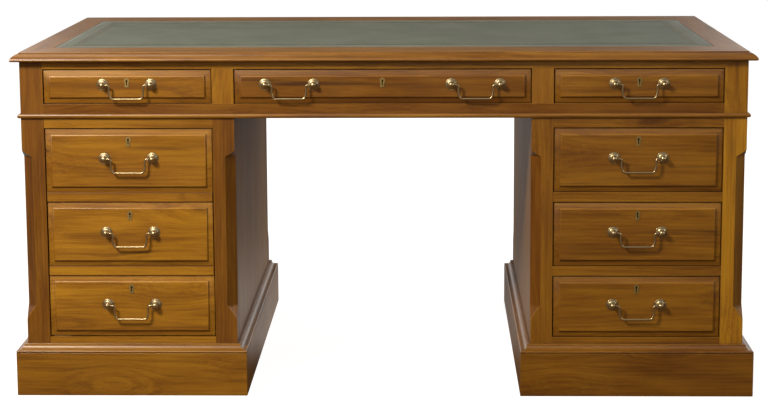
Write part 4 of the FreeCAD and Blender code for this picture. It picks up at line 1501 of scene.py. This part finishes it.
@dataclass
class Studio:
    """Pale floor, soft lights and the camera."""

    eye: Point = (0.1007, -4.6576, 1.2483)
    pitch: float = 8.479
    yaw: float = 1.324
    roll: float = -0.272
    lens: float = 88.71
    rise: float = -0.10
    floor_size: float = 20.0
    backdrop_share: float = 0.60
    backdrop_glow: float = 1.5
    floor_sheen: tuple[float, float] = (0.25, 0.04)
    sheen_colour: RGB = (1.0, 0.89, 0.80)
    dim_colour: RGB = (0.110, 0.075, 0.045)
    wing: tuple[float, float] = (0.160, 0.205)
    wing_glow: tuple[float, float] = (0.050, 1.10)
    front_glow: float = 0.42
    least_glow: float = 0.02
    lights: tuple[SoftBox, ...] = (
        SoftBox("key_light", (-1.60, -2.20, 2.35), (-0.4, -0.4, 0.4), 0.55, 0.55, 92.0, (1.0, 0.92, 0.80)),
        SoftBox("fill_light", (0.4, -3.4, 1.35), (-0.1, -0.4, 0.4), 1.6, 1.2, 16.0, (1.0, 0.93, 0.82), False),
        SoftBox("side_light", (3.2, -1.4, 1.9), (0.0, -0.3, 0.3), 1.0, 1.0, 15.0, (1.0, 0.94, 0.86)),
        SoftBox("back_light", (0.5, 3.8, 1.9), (0.0, 0.4, 0.4), 2.0, 1.2, 42.0, (1.0, 0.95, 0.88), False),
        SoftBox("left_light", (-3.4, 0.7, 1.4), (-0.6, 0.1, 0.4), 1.2, 1.0, 16.0, (1.0, 0.93, 0.84), False),
        SoftBox("lip_light", (-0.95, 0.25, 2.8), (-0.7, -0.4, 0.8), 1.0, 0.5, 7.0, (1.0, 0.88, 0.66)),
    )

    def build(self) -> None:
        """Sets up the whole studio."""
        self._camera()
        self._floor()
        self._world()
        for light in self.lights:
            light.hang()
        view = bpy.context.scene.view_settings
        view.view_transform = "Standard"
        view.look = "None"

    def _camera(self) -> None:
        """Stands the camera a little to the right of the middle, looking slightly down."""
        data = bpy.data.cameras.new("studio_camera")
        data.lens = self.lens
        data.sensor_width = 36.0
        data.shift_y = self.rise
        camera = linked("studio_camera", data)
        turn = Matrix.Rotation(math.radians(self.yaw), 4, "Z")
        tilt = Matrix.Rotation(math.radians(90.0 - self.pitch), 4, "X")
        level = Matrix.Rotation(math.radians(self.roll), 4, "Z")
        camera.matrix_world = Matrix.Translation(self.eye) @ turn @ tilt @ level
        bpy.context.scene.camera = camera

    def _floor(self) -> None:
        """Lays a wide pale floor, which is darker to the desk than it looks."""
        material = bpy.data.materials.new("studio_floor")
        w = rewired(material)
        place = w.here("Object")
        shade = w.mixed(w.noise(place, 0.6, 3.0), (0.86, 0.86, 0.86), (0.90, 0.90, 0.90))
        lit = w.flow("ShaderNodeBsdfDiffuse", {"Color": shade})
        glow = w.flow("ShaderNodeEmission", {"Color": WHITE, "Strength": self.backdrop_glow})
        dim = w.flow("ShaderNodeBsdfDiffuse", {"Color": self.dim_colour})
        spot = w.parts(place)
        strength = w.ramped(spot[0], -1.0, 1.0, *self.floor_sheen)
        strength = w.times(strength, w.ramped(spot[1], 0.3, 1.5, 2.2, 1.0))
        strength = w.times(strength, w.ramped(w.math("ABSOLUTE", spot[0]), 1.2, 1.9, 1.0, 0.08))
        sheen = w.flow("ShaderNodeEmission", {"Color": self.sheen_colour, "Strength": strength})
        felt = w.blended(w.ramped(spot[1], -0.25, 0.1), dim, sheen)
        shown = w.blended(self.backdrop_share, lit, glow)
        w.node("ShaderNodeOutputMaterial", {"Surface": w.seen(felt, shown)})
        build = bmesh.new()
        bmesh.ops.create_grid(build, x_segments=8, y_segments=8, size=self.floor_size)
        mesh = mesh_of(build, "studio_floor")
        mesh.materials.append(material)
        floor = linked("studio_floor", mesh)

    def _world(self) -> None:
        """Fills the room with even pale light, softer than the backdrop looks."""
        world = bpy.data.worlds.new("studio_room")
        w = rewired(world)
        way = w.parts(w.here("Generated"))
        height = w.times(w.ramped(way[2], 0.05, 0.5), w.ramped(way[1], -0.1, -0.6))
        aside = w.math("ABSOLUTE", w.plus(way[0], 0.022))
        wings = w.times(w.ramped(way[1], -0.2, 0.9), w.ramped(aside, *self.wing, *self.wing_glow))
        strength = w.plus(w.plus(w.times(height, self.front_glow), wings), self.least_glow)
        room = w.flow("ShaderNodeBackground", {"Color": WHITE, "Strength": strength})
        backdrop = w.flow("ShaderNodeBackground", {"Color": WHITE, "Strength": 1.0})
        w.node("ShaderNodeOutputWorld", {"Surface": w.seen(room, backdrop)})
        bpy.context.scene.world = world


def main() -> None:
    """Builds the desk and its studio."""
    logging.basicConfig(level=logging.INFO, format="%(message)s")
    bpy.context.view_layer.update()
    palette = Palette()
    growths = Growths()
    joiner = Joiner(palette)
    brassware = Brassware(palette, growths)
    Studio().build()
    WritingTop(palette, joiner, growths).build()
    Carcase(joiner).build()
    Fronts(joiner, brassware).build()
    brassware.clear_patterns()
    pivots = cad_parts["door_pivots"]
    for index in range(len(pivots.data.materials)):
        pivots.material_slots[index].material = palette.sheet


if __name__ == "__main__":
    main()
